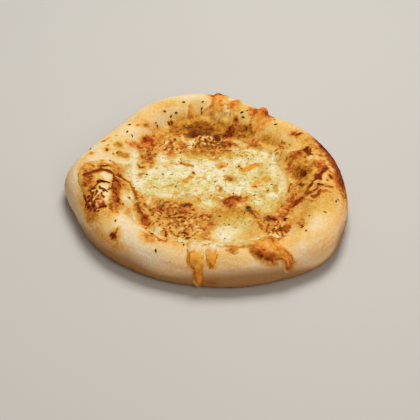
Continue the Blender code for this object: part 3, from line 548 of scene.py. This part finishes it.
def grain(size, layer):
    """Noise over the flat surface."""
    return noise(FLAT_X, FLAT_Y, size, layer)


def unrest(size, layer):
    """Noise in three sizes over the flat surface."""
    return rough(FLAT_X, FLAT_Y, size, layer)


def seams():
    """Narrow grooves between the curds of the cheese: 1 along their middle."""
    coarse = 1 - np.abs(noise(WARPED_X, WARPED_Y, 6.5, 40))
    fine = 1 - np.abs(noise(WARPED_X, WARPED_Y, 3.6, 41))
    return 0.6 * coarse**6 + 0.6 * fine**6


FLAT_Y, FLAT_X = np.mgrid[0:CELLS, 0:CELLS] * CELL - HALF
ANGLE = np.arctan2(FLAT_Y, FLAT_X)
STATION = station_at(ANGLE, np.hypot(FLAT_X, FLAT_Y))
NEAR_CREST = rise(STATION, -0.3, 0.3)
FOOT = np.exp(-((STATION + 0.97) / 0.16) ** 2)          # 1 where the slope meets the dish's floor
WALL = rise(STATION, 0.3, 0.5)
RAISED = 1.5 * rise(-STATION, 0.5, 0.5) + 2.0 * FOOT    # how far thick cheese shifts marks forward
WARPED_X = FLAT_X + 0.9 * grain(6, 1) + 0.7 * grain(2.2, 2)
WARPED_Y = FLAT_Y + RAISED + 0.9 * grain(6, 3) + 0.7 * grain(2.2, 4)
FRAY = unrest(4.5, 33)                                  # frays the edges of patches
UNEVEN = 0.6 * grain(3.4, 35) + 0.6 * grain(1.6, 36)    # how the tone wavers
SEAMS = seams()


def read(field, x, y):
    """Values of a field at flat places, read between its cells."""
    u = np.clip((x + HALF) / CELL, 0, CELLS - 1.001)
    v = np.clip((y + HALF) / CELL, 0, CELLS - 1.001)
    i, j = u.astype(int), v.astype(int)
    f, g = u - i, v - j
    return ((field[j, i] * (1 - f) + field[j, i + 1] * f) * (1 - g)
            + (field[j + 1, i] * (1 - f) + field[j + 1, i + 1] * f) * g)


def window(x0, x1, y0, y1):
    """The cells that cover a box, as a pair of slices."""
    i0, i1, j0, j1 = (int((edge + HALF) / CELL) for edge in (x0, x1, y0, y1))
    return slice(max(0, j0), j1 + 2), slice(max(0, i0), i1 + 2)


def patch(x, y, half_length, half_width, turn, soft=0.45):
    """The cells round a patch, and how strongly it covers each: 1 inside its frayed edge."""
    reach = max(half_length, half_width) * (1.3 + soft) + WARP
    part = window(x - reach, x + reach, y - reach, y + reach)
    dx, dy = WARPED_X[part] - x, WARPED_Y[part] - y
    c, s = math.cos(math.radians(turn)), math.sin(math.radians(turn))
    out = np.hypot((dx * c + dy * s) / half_length, (dy * c - dx * s) / half_width)
    return part, smooth((1 + soft - (out + 0.3 * FRAY[part])) / (2 * soft))


def stroke(points, width, soft=0.34):
    """The cells round a stroke, and how strongly it covers each: 1 along its middle."""
    points = np.reshape(points, (-1, 2)).astype(float)
    (x0, y0), (x1, y1) = points.min(0) - width - WARP, points.max(0) + width + WARP
    part = window(x0, x1, y0, y1)
    px, py = WARPED_X[part], WARPED_Y[part]
    nearest = np.full(px.shape, width)
    for (ax, ay), (bx, by) in zip(points, points[1:]):
        dx, dy = bx - ax, by - ay
        along = np.clip(((px - ax) * dx + (py - ay) * dy) / (dx * dx + dy * dy), 0, 1)
        nearest = np.minimum(nearest, np.hypot(px - ax - along * dx, py - ay - along * dy))
    return part, smooth((0.5 + 0.5 * soft - nearest / width) / soft)


def raise_to(field, part, cover, level):
    """Lifts a field towards a level where a mark covers it, and never lowers it."""
    field[part] += cover * np.maximum(level - field[part], 0)


def edge_field():
    """Distance from the edge of the cheese over the flat surface, positive inside."""
    angle = np.linspace(0, math.tau, EDGE_POINTS, endpoint=False)
    spread = spread_at(angle, cheese_edge(angle))
    tree = KDTree(len(angle))
    for index, (x, y) in enumerate(zip(spread * np.cos(angle), spread * np.sin(angle))):
        tree.insert((x, y, 0), index)
    tree.balance()
    inside = np.hypot(FLAT_X, FLAT_Y) < spread_at(ANGLE, cheese_edge(ANGLE))
    coarse = (slice(None, None, 2), slice(None, None, 2))
    flat = zip(FLAT_X[coarse].ravel(), FLAT_Y[coarse].ravel())
    near = np.array([tree.find((x, y, 0))[2] for x, y in flat]).reshape(FLAT_X[coarse].shape)
    signed = np.where(inside[coarse], near, -near)
    fine = np.arange(CELLS) / 2
    low = np.minimum(fine.astype(int), signed.shape[0] - 2)
    part = fine - low
    rows = signed[low] * (1 - part[:, None]) + signed[low + 1] * part[:, None]
    return rows[:, low] * (1 - part) + rows[:, low + 1] * part


# ---------------------------------------------------------------- what is where
def random_shreds(rng, place, lie, count, length, apart=0.0, stray=0.5):
    """Short, bent shreds strewn in an ellipse: each as x and y of its start, middle and end."""
    x, y, half_length, half_width, turn = place
    c, s = math.cos(math.radians(turn)), math.sin(math.radians(turn))
    taken = []
    for _ in range(count):
        for _ in range(TRIES):
            reach, way = math.sqrt(rng.random()), rng.uniform(0, math.tau)
            u, v = half_length * reach * math.cos(way), half_width * reach * math.sin(way)
            px, py = x + u * c - v * s, y + u * s + v * c
            if all(math.hypot(px - qx, py - qy) > apart for qx, qy in taken):
                break
        else:
            continue
        if apart:
            taken.append((px, py))
        heading = math.radians(lie) + rng.gauss(0, stray)
        bend = rng.gauss(0, BEND)
        half = 0.5 * rng.uniform(*length)
        yield (px - half * math.cos(heading - bend), py - half * math.sin(heading - bend), px, py,
               px + half * math.cos(heading + bend), py + half * math.sin(heading + bend))


def lay_ground(tone, olive, ground):
    """Broad soft regions of a ground."""
    for *shape, level, tint in ground:
        part, cover = patch(*shape, GROUND_SOFT)
        raise_to(tone, part, cover, level / 100)
        raise_to(olive, part, cover, tint / 100)


def lay_halo(tone, part, cover, level):
    """The golden surround of a dark mark."""
    if level > HALO_FROM:
        raise_to(tone, part, cover, 0.30 + 0.25 * (level / 100))


def lay_patches(tone, red, olive):
    """The patches, each in place of the tints below it."""
    for *shape, level, redness in PATCHES:
        part, cover = patch(*shape)
        raise_to(tone, part, cover, level / 100)
        red[part] += cover * (max(redness / 100, 0) - red[part])
        olive[part] += cover * (max(-redness / 100, 0) - olive[part])


def lay_pale_and_highlights(tone, red, olive):
    """The pale places: pale cheese, and painted highlights."""
    for *shape, how in PALE_AND_HIGHLIGHTS:
        part, cover = patch(*shape, 0.6)
        tone[part] += cover * (how / 100) * (PALE_TONE - tone[part])
        red[part] *= 1 - cover * (how / 100)
        olive[part] *= 1 - cover * (how / 100)


def lay_strokes(tone, red, olive, relief):
    """The strokes, slightly proud."""
    for width, level, redness, *points in STROKES:
        part, cover = stroke(points, width)
        raise_to(tone, part, cover, level / 100)
        red[part] += cover * (redness / 100 - red[part])
        olive[part] *= 1 - 0.7 * cover
        raise_to(relief, part, cover, 0.5)


def lay_dots(tone, relief, rng):
    """The dark dots, each a little different from the next."""
    for size, longer, lie, level, *places in DOTS:
        for x, y in zip(places[::2], places[1::2]):
            wide = 0.5 * size * rng.uniform(0.75, 1.15)
            part, cover = patch(x, y, wide * longer, wide, lie + rng.gauss(0, 25), 0.3)
            raise_to(tone, part, cover, level / 100)
            raise_to(relief, part, cover, 0.4)


def lay_clusters(tone, relief, rng, pale):
    """The clusters' shreds, either the pale ones or the dark ones."""
    for *place, lie, count, level, thick in CLUSTERS:
        if (level < PALE_BELOW) != pale:
            continue
        for points in random_shreds(rng, place, lie, count, (1.4, 3.6), APART, 0.7):
            part, cover = stroke(points, thick * rng.uniform(0.75, 1.25))
            if pale:
                tone[part] += cover * (level / 100 - tone[part])
            else:
                raise_to(tone, part, cover, level / 100 - 0.14 * rng.random())
            raise_to(relief, part, cover, rng.uniform(0.3, 0.6))


def lay_marks(tone, red, olive, relief, waver):
    """All marks, laid over a ground: the golden surrounds first, the dark dots and shreds last."""
    rng = random.Random(MARK_SEED)
    for x, y, half_length, half_width, turn, level, _ in PATCHES:
        part, cover = patch(x, y, half_length + HALO, half_width + HALO, turn, 0.7)
        lay_halo(tone, part, 0.8 * cover, level)
    for width, level, _, *points in STROKES:
        part, cover = stroke(points, width + 1.4 * HALO, 0.8)
        lay_halo(tone, part, 0.6 * cover, level)
    lay_patches(tone, red, olive)
    tone += waver * rise(tone, 0.24, 0.24) * (UNEVEN - 0.12) * (1 - 0.6 * olive)
    lay_pale_and_highlights(tone, red, olive)
    lay_clusters(tone, relief, rng, pale=True)
    lay_strokes(tone, red, olive, relief)
    lay_dots(tone, relief, rng)
    lay_clusters(tone, relief, rng, pale=False)


def gold_field(tone):
    """How golden the cheese is, where it isn't browned."""
    gold = np.zeros_like(tone)
    for *shape, how in GOLD:
        raise_to(gold, *patch(*shape), how / 100)
    return gold * (0.85 + 0.4 * unrest(4, 33)) * (1 - rise(tone, 0.48, 0.2))


def crust_fields():
    """Tone, redness, olive tint and flour of the bare crust before its marks."""
    tone = 0.07 + 0.05 * unrest(26, 5) + 0.04 * grain(6, 6)
    olive = 0.25 * rise(-STATION, 0.1, 0.5)
    lay_ground(tone, olive, CRUST_GROUND)
    # Below the widest line the tone rises: the underside's baked brown, with painted shade under
    # the overhang.
    tone += 0.05 * WALL + 0.4 * rise(STATION, 1.15, 0.5)
    red = 0.25 * rise(STATION, 0.3, 0.4)
    streaks = noise(ANGLE * ROUND_WALL, STATION * SHOULDER_ARC, 2.4, 26, stretch=7)
    flour = np.clip(0.32 + 0.4 * unrest(9, 8) + 0.5 * streaks, 0, 1)
    flour = flour * rise(STATION, -0.1, 0.5) * (1 - 0.5 * rise(STATION, 1.15, 0.4))
    return tone, red, olive, flour


def cheese_fields(cheesy, crust_tone, crust_olive):
    """Tone, redness and olive tint of the cheese before its marks. Its edge takes the crust's."""
    tone = 0.035 + 0.12 * unrest(9, 9) + 0.11 * grain(2.8, 12) + 0.17 * SEAMS * (1 - NEAR_CREST)
    tone += 0.12 * rise(STATION, -0.95, 0.4)
    mottle = np.clip(0.34 + 0.5 * grain(8, 19) + 0.4 * SEAMS, 0, 1)
    olive = np.zeros_like(tone)
    lay_ground(tone, olive, CHEESE_GROUND)
    milky = (1 - rise(tone, 0.26, 0.14)) * (1 - rise(STATION, -0.8, 0.4))
    olive = np.maximum(olive, mottle * milky)
    tone = crust_tone + (tone - crust_tone) * cheesy
    olive = crust_olive + (olive - crust_olive) * cheesy
    return tone, np.zeros_like(tone), olive


def green_field():
    """Herb dust: small green-grey flecks, most of them in the dish."""
    rng = random.Random(DUST_SEED)
    green = np.zeros_like(FLAT_X)
    for _ in range(DUST_FLECKS):
        reach, way = DUST_REACH * math.sqrt(rng.random()), rng.uniform(0, math.tau)
        x, y = reach * math.cos(way), reach * math.sin(way)
        long, wide = rng.uniform(0.6, 1.8), rng.uniform(0.4, 0.9)
        part, cover = patch(x, y, long, wide, rng.uniform(0, 180), 0.4)
        raise_to(green, part, cover, rng.uniform(0.2, 0.75))
    return green


def melted_relief():
    """Relief of the cheese: shreds melted into each other, and fine unevenness."""
    rng = random.Random(SHRED_SEED)
    relief = np.zeros_like(FLAT_X)
    whole = 0, 0, SHRED_REACH, SHRED_REACH, 0
    for points in random_shreds(rng, whole, 20, SHREDS, (7.0, 17.0)):
        part, cover = stroke(points, rng.uniform(1.8, 3.0))
        raise_to(relief, part, cover, rng.uniform(0.2, 0.6))
    for x, y, radius, high in SWELLS:
        relief += high * np.exp(-((FLAT_X - x) ** 2 + (FLAT_Y - y) ** 2) / radius**2)
    relief += 0.35 * unrest(7, 14)
    relief += 0.14 * grain(1.7, 17)
    relief -= 0.45 * SEAMS * (1 - 0.8 * NEAR_CREST)
    return relief + sum(high * np.sin(kx * FLAT_X + ky * FLAT_Y + phase)
                        for kx, ky, high, phase in LUMPS)


def crust_relief(tone):
    """Relief of the dough: soft lumps, fine wrinkles round the wall, and small blisters."""
    wrinkles = noise(ANGLE * ROUND_WALL, STATION * SHOULDER_ARC, 1.5, 20, stretch=9)
    blisters = np.maximum(grain(2.0, 21) - 0.45, 0)
    return (0.5 * unrest(16, 22) + 0.12 * grain(4, 25) + 0.34 * WALL * wrinkles
            + 0.9 * WALL * blisters + 0.35 * rise(tone, 0.7, 0.2))


def cheese_top(inside, relief):
    """Height of the cheese over the dough: full in the dish, thin on the rim, round at its edge."""
    full = DISH_HEIGHT + (RIM_HEIGHT - DISH_HEIGHT) * np.clip(STATION + 1, 0, 1)
    full = full + FOOT_FILL * FOOT
    ragged = inside + 0.9 * grain(5, 30) + 0.5 * grain(1.8, 31)
    grow = np.clip(ragged / EDGE_ROUNDING, -1, 1)
    dome = np.where(grow > 0, grow * (2 - grow), 2 * grow)
    slack = np.where(grow > 0, smooth(grow), grow)
    dome = slack + (dome - slack) * rise(STATION, 0.05, 0.2)
    return full * dome + relief * smooth(grow / 0.35)


# ---------------------------------------------------------------- meshes
def add_object(name, data):
    """An object in the scene, from a mesh, a light or a camera."""
    made = bpy.data.objects.new(name, data)
    bpy.context.scene.collection.objects.link(made)
    return made


def mesh_piece(name, points, faces, material, attributes, uv):
    """A smooth-shaded mesh piece with values at its points and a flat map for baking."""
    mesh = bpy.data.meshes.new(name)
    mesh.from_pydata(points.tolist(), [], faces)
    mesh.shade_smooth()
    mesh.materials.append(material)
    for key, values in attributes.items():
        attribute = mesh.attributes.new(key, "FLOAT", "POINT")
        attribute.data.foreach_set("value", values.astype(np.float32))
    corners = np.empty(len(mesh.loops), int)
    mesh.loops.foreach_get("vertex_index", corners)
    layer = mesh.uv_layers.new(name="OFBake")
    layer.data.foreach_set("uv", uv[corners].ravel().astype(np.float32))
    piece = add_object(name, mesh)
    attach(piece, "root")
    return piece


def corners(number):
    """The point numbers at the four corners of every cell of a net."""
    return np.stack((number[:-1, :-1], number[:-1, 1:], number[1:, 1:], number[1:, :-1]), axis=-1)


def crust_piece(material, fields, relief):
    """The dough: rings from the middle of the dish out over the rim and in under the base."""
    slope = np.linspace(-1.0, 0.0, round(SLOPE_LENGTH / SKIN_SPACING))[1:]
    wall = np.linspace(0.0, 2.0, round((SHOULDER_ARC + UNDERCUT_ARC) / SKIN_SPACING))[1:]
    stations = np.concatenate((HIDDEN_STATIONS, slope, wall))
    angle = np.arange(COLUMNS) * math.tau / COLUMNS
    station, angle = np.meshgrid(stations, angle, indexing="ij")
    spread = spread_at(angle, station)
    x, y = spread * np.cos(angle), spread * np.sin(angle)
    height = read(relief, x, y) * smooth((1.95 - station) / 0.3)
    skin = on_bread(angle, station, height).reshape(-1, 3)
    middle, base = len(skin), len(skin) + 1
    points = np.concatenate((skin, on_bread(0.0, -2.0)[None], [[0, 0, 0]]))

    index = np.arange(len(skin)).reshape(station.shape)
    index = np.concatenate((index, index[:, :1]), axis=1)
    faces = corners(index)[..., ::-1].reshape(-1, 4).tolist()
    faces += [(middle, a, b) for a, b in zip(index[0], index[0, 1:])]
    faces += [(base, b, a) for a, b in zip(index[-1], index[-1, 1:])]
    flat = np.concatenate((np.stack((x.ravel(), y.ravel()), axis=-1), [[0, 0], [0, 0]]))
    attributes = {key: read(field, *flat.T) for key, field in fields.items()}
    piece = mesh_piece("crust", points, faces, material, attributes, 0.5 + flat / (2 * HALF))
    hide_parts("bread")


def coarser(number, deep):
    """A net's point numbers, each block of deep points replaced by its first point."""
    block, coarse = UNDERSIDE_BLOCK, number.copy()
    for j in range(0, len(number) - block, block):
        for i in range(0, len(number) - block, block):
            if deep[j:j + block, i:i + block].all():
                coarse[j:j + block, i:i + block] = number[j, i]
    return coarse


def distinct(face):
    """A face's points without those that repeat the one before."""
    return [point for point, before in zip(face, face[-1:] + face[:-1]) if point != before]


def net_points(held):
    """Which cells of a net are wholly held, and which of its points those cells use."""
    cells = held[:-1, :-1] & held[:-1, 1:] & held[1:, 1:] & held[1:, :-1]
    used = np.zeros_like(held)
    for rows in (slice(None, -1), slice(1, None)):
        for columns in (slice(None, -1), slice(1, None)):
            used[rows, columns] |= cells
    return cells, used


def open_edges(faces):
    """The edges that only one face has, as start and end points."""
    edges = {}
    for face in faces:
        for start, end in zip(face, face[1:] + face[:1]):
            if edges.pop((end, start), None) is None:
                edges[(start, end)] = True
    return list(edges)


def cheese_piece(material, fields, inside, top):
    """The cheese: a sheet on a square net, wrapped over the dough and thin at its edge."""
    count = int(2 * HALF / CHEESE_SPACING) + 1
    net = np.arange(count) * CHEESE_SPACING - HALF
    x, y = np.meshgrid(net, net)
    depth_in = read(inside, x, y)
    cells, used = net_points(depth_in > -CHEESE_MARGIN)
    number = np.cumsum(used).reshape(used.shape) - 1
    total = int(used.sum())
    x, y = x[used], y[used]
    angle = np.arctan2(y, x)
    station = station_at(angle, np.hypot(x, y))
    height = np.maximum(read(top, x, y), -CHEESE_DEPTH + 0.3)
    upper = on_bread(angle, station, height, SOFT_STEP)
    lower = on_bread(angle, station, -CHEESE_DEPTH, SOFT_STEP)

    above = corners(number)[cells]
    kept, under = np.unique(coarser(number, depth_in > EDGE_ROUNDING)[used], return_inverse=True)
    below = [distinct(face[::-1]) for face in (total + under[above]).tolist()]
    faces = above.tolist()
    faces += [(end, start, total + under[start], total + under[end])
              for start, end in open_edges(faces)]
    faces += [face for face in below if len(face) > 2]
    points = np.concatenate((upper, lower[kept]))
    x, y = np.concatenate((x, x[kept])), np.concatenate((y, y[kept]))
    attributes = {key: read(field, x, y) for key, field in fields.items()}
    flat = np.stack((x, y), axis=-1) / (2 * HALF)
    uv = np.concatenate((0.5 + 0.72 * flat[:total], 0.9 + 0.1 * flat[total:]))
    piece = mesh_piece("cheese", points, faces, material, attributes, uv)
    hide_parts("melted_cheese")


def add_flake(bm, angle, station, height, turn, size, rng):
    """One crumb of herb, uneven and flattened, half sunk at a height over the dough."""
    centre = on_bread(angle, station, height)
    normal = on_bread(angle, station, height + 1) - centre
    made = bmesh.ops.create_icosphere(bm, subdivisions=2, radius=0.5)["verts"]
    for vert in made:
        vert.co *= rng.uniform(0.72, 1.2)
    lie = Vector(normal).to_track_quat("Z", "Y").to_matrix().to_4x4()
    scale = Matrix.Diagonal(Vector((*(s * MM for s in size), 1.0)))
    place = Matrix.Translation(Vector(centre)) @ lie @ Matrix.Rotation(turn, 4, "Z") @ scale
    bmesh.ops.transform(bm, matrix=place, verts=made)


def read_at(field, angle, spread):
    """A field's value at an angle and a distance along the surface."""
    return float(read(field, spread * math.cos(angle), spread * math.sin(angle)))


def flake_places(relief, top):
    """Angle, station, height, turn and size of the flakes: first on the rim, then in the dish."""
    rng = random.Random(HERB_SEED)
    for degrees, station in HERBS_ON_RIM:
        angle, turn = math.radians(degrees), rng.uniform(0, math.tau)
        height = read_at(relief, angle, spread_at(angle, station))
        yield angle, station, height, turn, rng.uniform(*HERB_SCALE)
    golden = math.pi * (3 - math.sqrt(5))
    for k in range(HERBS_IN_DISH):
        reach = DISH_HERB_REACH * math.sqrt((k + 0.5) / HERBS_IN_DISH)
        angle = k * golden + rng.uniform(-HERB_SPREAD, HERB_SPREAD)
        station, turn = float(station_at(angle, reach)), rng.uniform(0, math.tau)
        scale = DISH_HERB_SCALE * rng.uniform(*HERB_SCALE)
        yield angle, station, read_at(top, angle, reach), turn, scale


def herb_piece(material, relief, top):
    """The herb flakes, and smaller specks strewn over the cheese, as one piece."""
    rng = random.Random(SPECK_SEED)
    bm = bmesh.new()
    for angle, station, height, turn, scale in flake_places(relief, top):
        add_flake(bm, angle, station, height + 0.1, turn, [scale * s for s in FLAKE_SIZE], rng)
    for _ in range(SPECKS):
        reach, angle = SPECK_REACH * math.sqrt(rng.random()), rng.uniform(0, math.tau)
        height = read_at(top, angle, reach)
        if height > 1:
            size, station = rng.uniform(0.6, 1.3), float(station_at(angle, reach))
            turn = rng.uniform(0, math.tau)
            add_flake(bm, angle, station, height, turn, (size, 0.6 * size, 0.5 * size), rng)
    mesh = bpy.data.meshes.new("herb_flakes")
    bm.to_mesh(mesh)
    bm.free()
    mesh.shade_smooth()
    mesh.materials.append(material)
    piece = add_object("herb_flakes", mesh)
    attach(piece, "root")


# ---------------------------------------------------------------- materials
def colour(red, green, blue):
    """A display colour, each part from 0 to 255, as the linear colour that shaders take."""
    parts = [value / 255 for value in (red, green, blue)]
    return (*(p / 12.92 if p <= 0.04045 else ((p + 0.055) / 1.055) ** 2.4 for p in parts), 1.0)


CRUST_TONES = (
    (0.00, (246, 230, 194)), (0.10, (243, 214, 164)), (0.20, (246, 204, 134)),
    (0.32, (240, 185, 98)), (0.44, (222, 152, 58)), (0.56, (190, 110, 36)),
    (0.68, (148, 72, 20)), (0.82, (94, 36, 8)), (1.00, (40, 14, 5)),
)
CHEESE_TONES = (
    (0.00, (247, 238, 216)), (0.12, (239, 216, 162)), (0.25, (228, 187, 104)),
    (0.38, (228, 161, 66)), (0.50, (202, 130, 46)), (0.62, (164, 91, 28)),
    (0.74, (126, 55, 14)), (0.86, (80, 30, 8)), (1.00, (28, 10, 2)),
)
HERB_TONES = ((0.0, (46, 34, 14)), (0.5, (84, 66, 28)), (1.0, (128, 108, 50)))
FLOOR_TONES = ((0.0, (202, 199, 194)), (1.0, (208, 205, 200)))
REDDER, OLIVER = (255, 204, 214), (238, 246, 200)       # these multiply
HERB_GREEN = (128, 118, 62)
FLOUR = (244, 231, 200)
# Painted shade: the dull brown that the foot of the wall is darkened towards.
SHADE_BROWN = (160, 106, 53)
GOLDEN = (252, 170, 52)


class Nodes:
    """A material's nodes, each made in one call."""

    def __init__(self, name):
        self.material = bpy.data.materials.new(name)
        self.material.use_nodes = True
        self.tree = self.material.node_tree
        self.shader = self.tree.nodes["Principled BSDF"]
        self.place = self.add("ShaderNodeTexCoord").outputs["Object"]

    def put(self, socket, value):
        """Links a socket to another's output, or sets it to a value."""
        if isinstance(value, bpy.types.NodeSocket):
            self.tree.links.new(value, socket)
        else:
            socket.default_value = value

    def add(self, kind, inputs=None, **settings):
        """A new node with the given settings, and with values or links for its inputs."""
        node = self.tree.nodes.new(kind)
        for key, value in settings.items():
            setattr(node, key, value)
        for key, value in (inputs or {}).items():
            self.put(node.inputs[key], value)
        return node

    def surface(self, name, value):
        """Sets or links one of the surface's properties."""
        self.put(self.shader.inputs[name], value)

    def attribute(self, name):
        """The value that the mesh's points have under a name."""
        return self.add("ShaderNodeAttribute", attribute_name=name).outputs["Fac"]

    def noise(self, size, detail=3.0, offset=0.0):
        """Noise whose lumps are about size millimetres across, around 0.5."""
        shift = self.add("ShaderNodeMapping", {"Vector": self.place, "Location": (offset,) * 3})
        inputs = {"Vector": shift.outputs["Vector"], "Scale": 1 / (size * MM),
                  "Detail": detail, "Roughness": 0.55}
        return self.add("ShaderNodeTexNoise", inputs).outputs["Fac"]

    def math(self, operation, a, b):
        """One sum or product."""
        return self.add("ShaderNodeMath", {0: a, 1: b}, operation=operation).outputs[0]

    def vary(self, value, texture, amount):
        """A value, shifted up and down by noise."""
        shift = self.math("MULTIPLY", self.math("SUBTRACT", texture, 0.5), amount)
        return self.math("ADD", value, shift)

    def between(self, value, low, high, out_low=0.0, out_high=1.0):
        """A value, stretched from one range to another and kept inside it."""
        inputs = {"Value": value, "From Min": low, "From Max": high,
                  "To Min": out_low, "To Max": out_high}
        return self.add("ShaderNodeMapRange", inputs).outputs["Result"]

    def ramp(self, value, stops):
        """The colour at a value, from stops of place and display colour."""
        node = self.add("ShaderNodeValToRGB", {"Fac": value})
        elements = node.color_ramp.elements
        while len(elements) < len(stops):
            elements.new(0.5)
        for element, (place, shade) in zip(elements, stops):
            element.position = place
            element.color = colour(*shade)
        return node.outputs["Color"]

    def mix(self, amount, shade, constant, blend="MIX"):
        """A colour, mixed with a constant one."""
        inputs = {"Factor": amount, "A": shade, "B": colour(*constant)}
        node = self.add("ShaderNodeMix", inputs, data_type="RGBA", blend_type=blend)
        return node.outputs["Result"]

    def tinted(self, shade):
        """A colour with the redness and the olive tint of the place."""
        shade = self.mix(self.attribute("red"), shade, REDDER, "MULTIPLY")
        return self.mix(self.attribute("olive"), shade, OLIVER, "MULTIPLY")

    def bump(self, height, depth, strength=1.0, below=None):
        """A bump whose height of 1 is depth millimetres, on top of another bump."""
        inputs = {"Height": height, "Distance": depth * MM, "Strength": strength}
        if below is not None:
            inputs["Normal"] = below
        return self.add("ShaderNodeBump", inputs).outputs["Normal"]

    def let_light_in(self, weight, green):
        """Slight scattering below the surface."""
        self.surface("Subsurface Weight", weight)
        self.surface("Subsurface Radius", (1.0, green, 0.3))
        self.surface("Subsurface Scale", 2.0 * MM)


def crust_material():
    """Baked dough: floury and matt, its tone wavering, with fine pores and specks."""
    n = Nodes("baked_crust")
    fine, specks, pores = n.noise(2.4), n.noise(1.1, offset=3.0), n.noise(0.5, 2.0, offset=7.0)
    tone = n.vary(n.vary(n.attribute("tone"), fine, 0.34), specks, 0.50)
    shade = n.tinted(n.ramp(tone, CRUST_TONES))
    flour = n.vary(n.attribute("flour"), n.noise(1.1, 4.0, offset=5.0), 1.1)
    shade = n.mix(n.between(flour, 0.36, 0.95, 0.0, 0.42), shade, FLOUR)
    # Painted shade at the foot of the wall: the low attribute mixes the colour towards a dull
    # brown.
    shade = n.mix(n.math("MULTIPLY", n.attribute("low"), 0.85), shade, SHADE_BROWN)
    n.surface("Base Color", shade)
    n.surface("Roughness", n.between(specks, 0.3, 0.7, 0.55, 0.78))
    n.surface("Specular IOR Level", n.between(tone, 0.4, 0.8, 0.14, 0.03))
    n.surface("Normal", n.bump(pores, 0.22, 0.8, n.bump(fine, 0.8, 0.6)))
    n.let_light_in(0.06, 0.6)
    return n.material


def cheese_material():
    """Melted cheese: milky to oily yellow, browned where the tone is high, with herb dust."""
    n = Nodes("melted_cheese_looks")
    fine, specks = n.noise(1.9), n.noise(1.0, offset=3.0)
    tone = n.vary(n.vary(n.attribute("tone"), fine, 0.30), specks, 0.34)
    shade = n.tinted(n.mix(n.attribute("gold"), n.ramp(tone, CHEESE_TONES), GOLDEN))
    shade = n.mix(n.math("MULTIPLY", n.attribute("green"), 0.8), shade, HERB_GREEN)
    n.surface("Base Color", shade)
    n.surface("Roughness", n.between(fine, 0.3, 0.7, 0.30, 0.55))
    n.surface("Specular IOR Level", n.between(tone, 0.2, 0.5, 0.18, 0.03))
    n.surface("Normal", n.bump(specks, 0.25, 0.5, n.bump(fine, 0.6, 0.5)))
    n.let_light_in(0.05, 0.65)
    return n.material


def herb_material():
    """Dried herb: dark green-brown, uneven."""
    n = Nodes("dried_herb")
    texture = n.noise(0.9)
    n.surface("Base Color", n.ramp(n.between(texture, 0.3, 0.7), HERB_TONES))
    n.surface("Normal", n.bump(texture, 0.3))
    n.surface("Roughness", 0.7)
    n.surface("Specular IOR Level", 0.08)
    return n.material


def floor_material():
    """Plain pale studio floor."""
    n = Nodes("studio_floor")
    n.surface("Base Color", n.ramp(n.noise(400.0), FLOOR_TONES))
    n.surface("Roughness", 0.8)
    return n.material


# ---------------------------------------------------------------- scene
CAMERA_PLACE = (0.00403, -0.88093, 0.70906)
LOOK_DOWN, ROLL = math.radians(39.346), math.radians(1.218)
LENS, SENSOR = 113.156, 36.0
LIGHTS = (                  # name, place, size, power, colour
    ("key", (0.10, 0.46, 1.15), 0.6, 11.5, (1.0, 0.98, 0.95)),
    ("front", (0.40, -1.0, 0.95), 0.8, 4.8, (1.0, 0.93, 0.84)),
)
SKY, SKY_STRENGTH = (1.0, 0.96, 0.90, 1.0), 0.23
FLOOR_SIZE = 8.0


def add_camera():
    """The camera at the photograph's viewing angle: it looks along +Y and down, slightly rolled."""
    right, up = Vector((1, 0, 0)), Vector((0, math.sin(LOOK_DOWN), math.cos(LOOK_DOWN)))
    back = Vector((0, -math.cos(LOOK_DOWN), math.sin(LOOK_DOWN)))
    side = right * math.cos(ROLL) + up * math.sin(ROLL)
    turn = Matrix((side, back.cross(side), back)).transposed().to_4x4()
    data = bpy.data.cameras.new("camera")
    data.lens, data.sensor_width = LENS, SENSOR
    camera = add_object("camera", data)
    camera.matrix_world = Matrix.Translation(CAMERA_PLACE) @ turn
    bpy.context.scene.camera = camera


def add_light(name, place, size, power, shade):
    """A square soft light that points at the bread."""
    data = bpy.data.lights.new(name, "AREA")
    data.size, data.energy, data.color = size, power, shade
    light = add_object(name, data)
    light.location = place
    light.rotation_euler = (-Vector(place)).to_track_quat("-Z", "Y").to_euler()


def add_studio():
    """Floor, world and lights: a large light above and behind, a weaker one in front."""
    mesh = bpy.data.meshes.new("floor")
    corner = FLOOR_SIZE / 2
    ends = ((-corner, -corner, 0), (corner, -corner, 0), (corner, corner, 0), (-corner, corner, 0))
    mesh.from_pydata(ends, [], [(0, 1, 2, 3)])
    mesh.materials.append(floor_material())
    floor = add_object("floor", mesh)
    for light in LIGHTS:
        add_light(*light)
    world = bpy.data.worlds.new("soft")
    world.use_nodes = True
    background = world.node_tree.nodes["Background"]
    background.inputs["Color"].default_value = SKY
    background.inputs["Strength"].default_value = SKY_STRENGTH
    bpy.context.scene.world = world
    bpy.context.scene.view_settings.view_transform = "Standard"


def main():
    """Builds the pieces from shared fields, then the studio."""
    inside = edge_field()
    tone, red, olive, flour = crust_fields()
    ground = tone.copy(), olive.copy()
    waver = CRUST_UNREST * (1 - rise(STATION, 0.4, 0.3))
    lay_marks(tone, red, olive, np.zeros_like(tone), waver)
    relief = crust_relief(tone)
    flour *= 1 - rise(tone, 0.36, 0.24)
    # low is painted shade: it rises from a station that changes round the bread.
    low = rise(STATION, around(SHADE_FROM_EVERY_15, ANGLE), 0.4)
    fields = {"tone": tone, "red": red, "olive": olive, "flour": flour, "low": low}
    crust_piece(crust_material(), fields, relief)

    fade = EDGE_FADE[0] + (EDGE_FADE[1] - EDGE_FADE[0]) * NEAR_CREST
    tone, red, olive = cheese_fields(smooth(inside / fade), *ground)
    raised = np.zeros_like(tone)
    lay_marks(tone, red, olive, raised, UNREST)
    top = cheese_top(inside, melted_relief() + raised)
    fields = {"tone": tone, "red": red, "olive": olive}
    fields |= {"green": green_field(), "gold": gold_field(tone)}
    cheese_piece(cheese_material(), fields, inside, top)
    herb_piece(herb_material(), relief, top)
    add_studio()
    add_camera()


main()
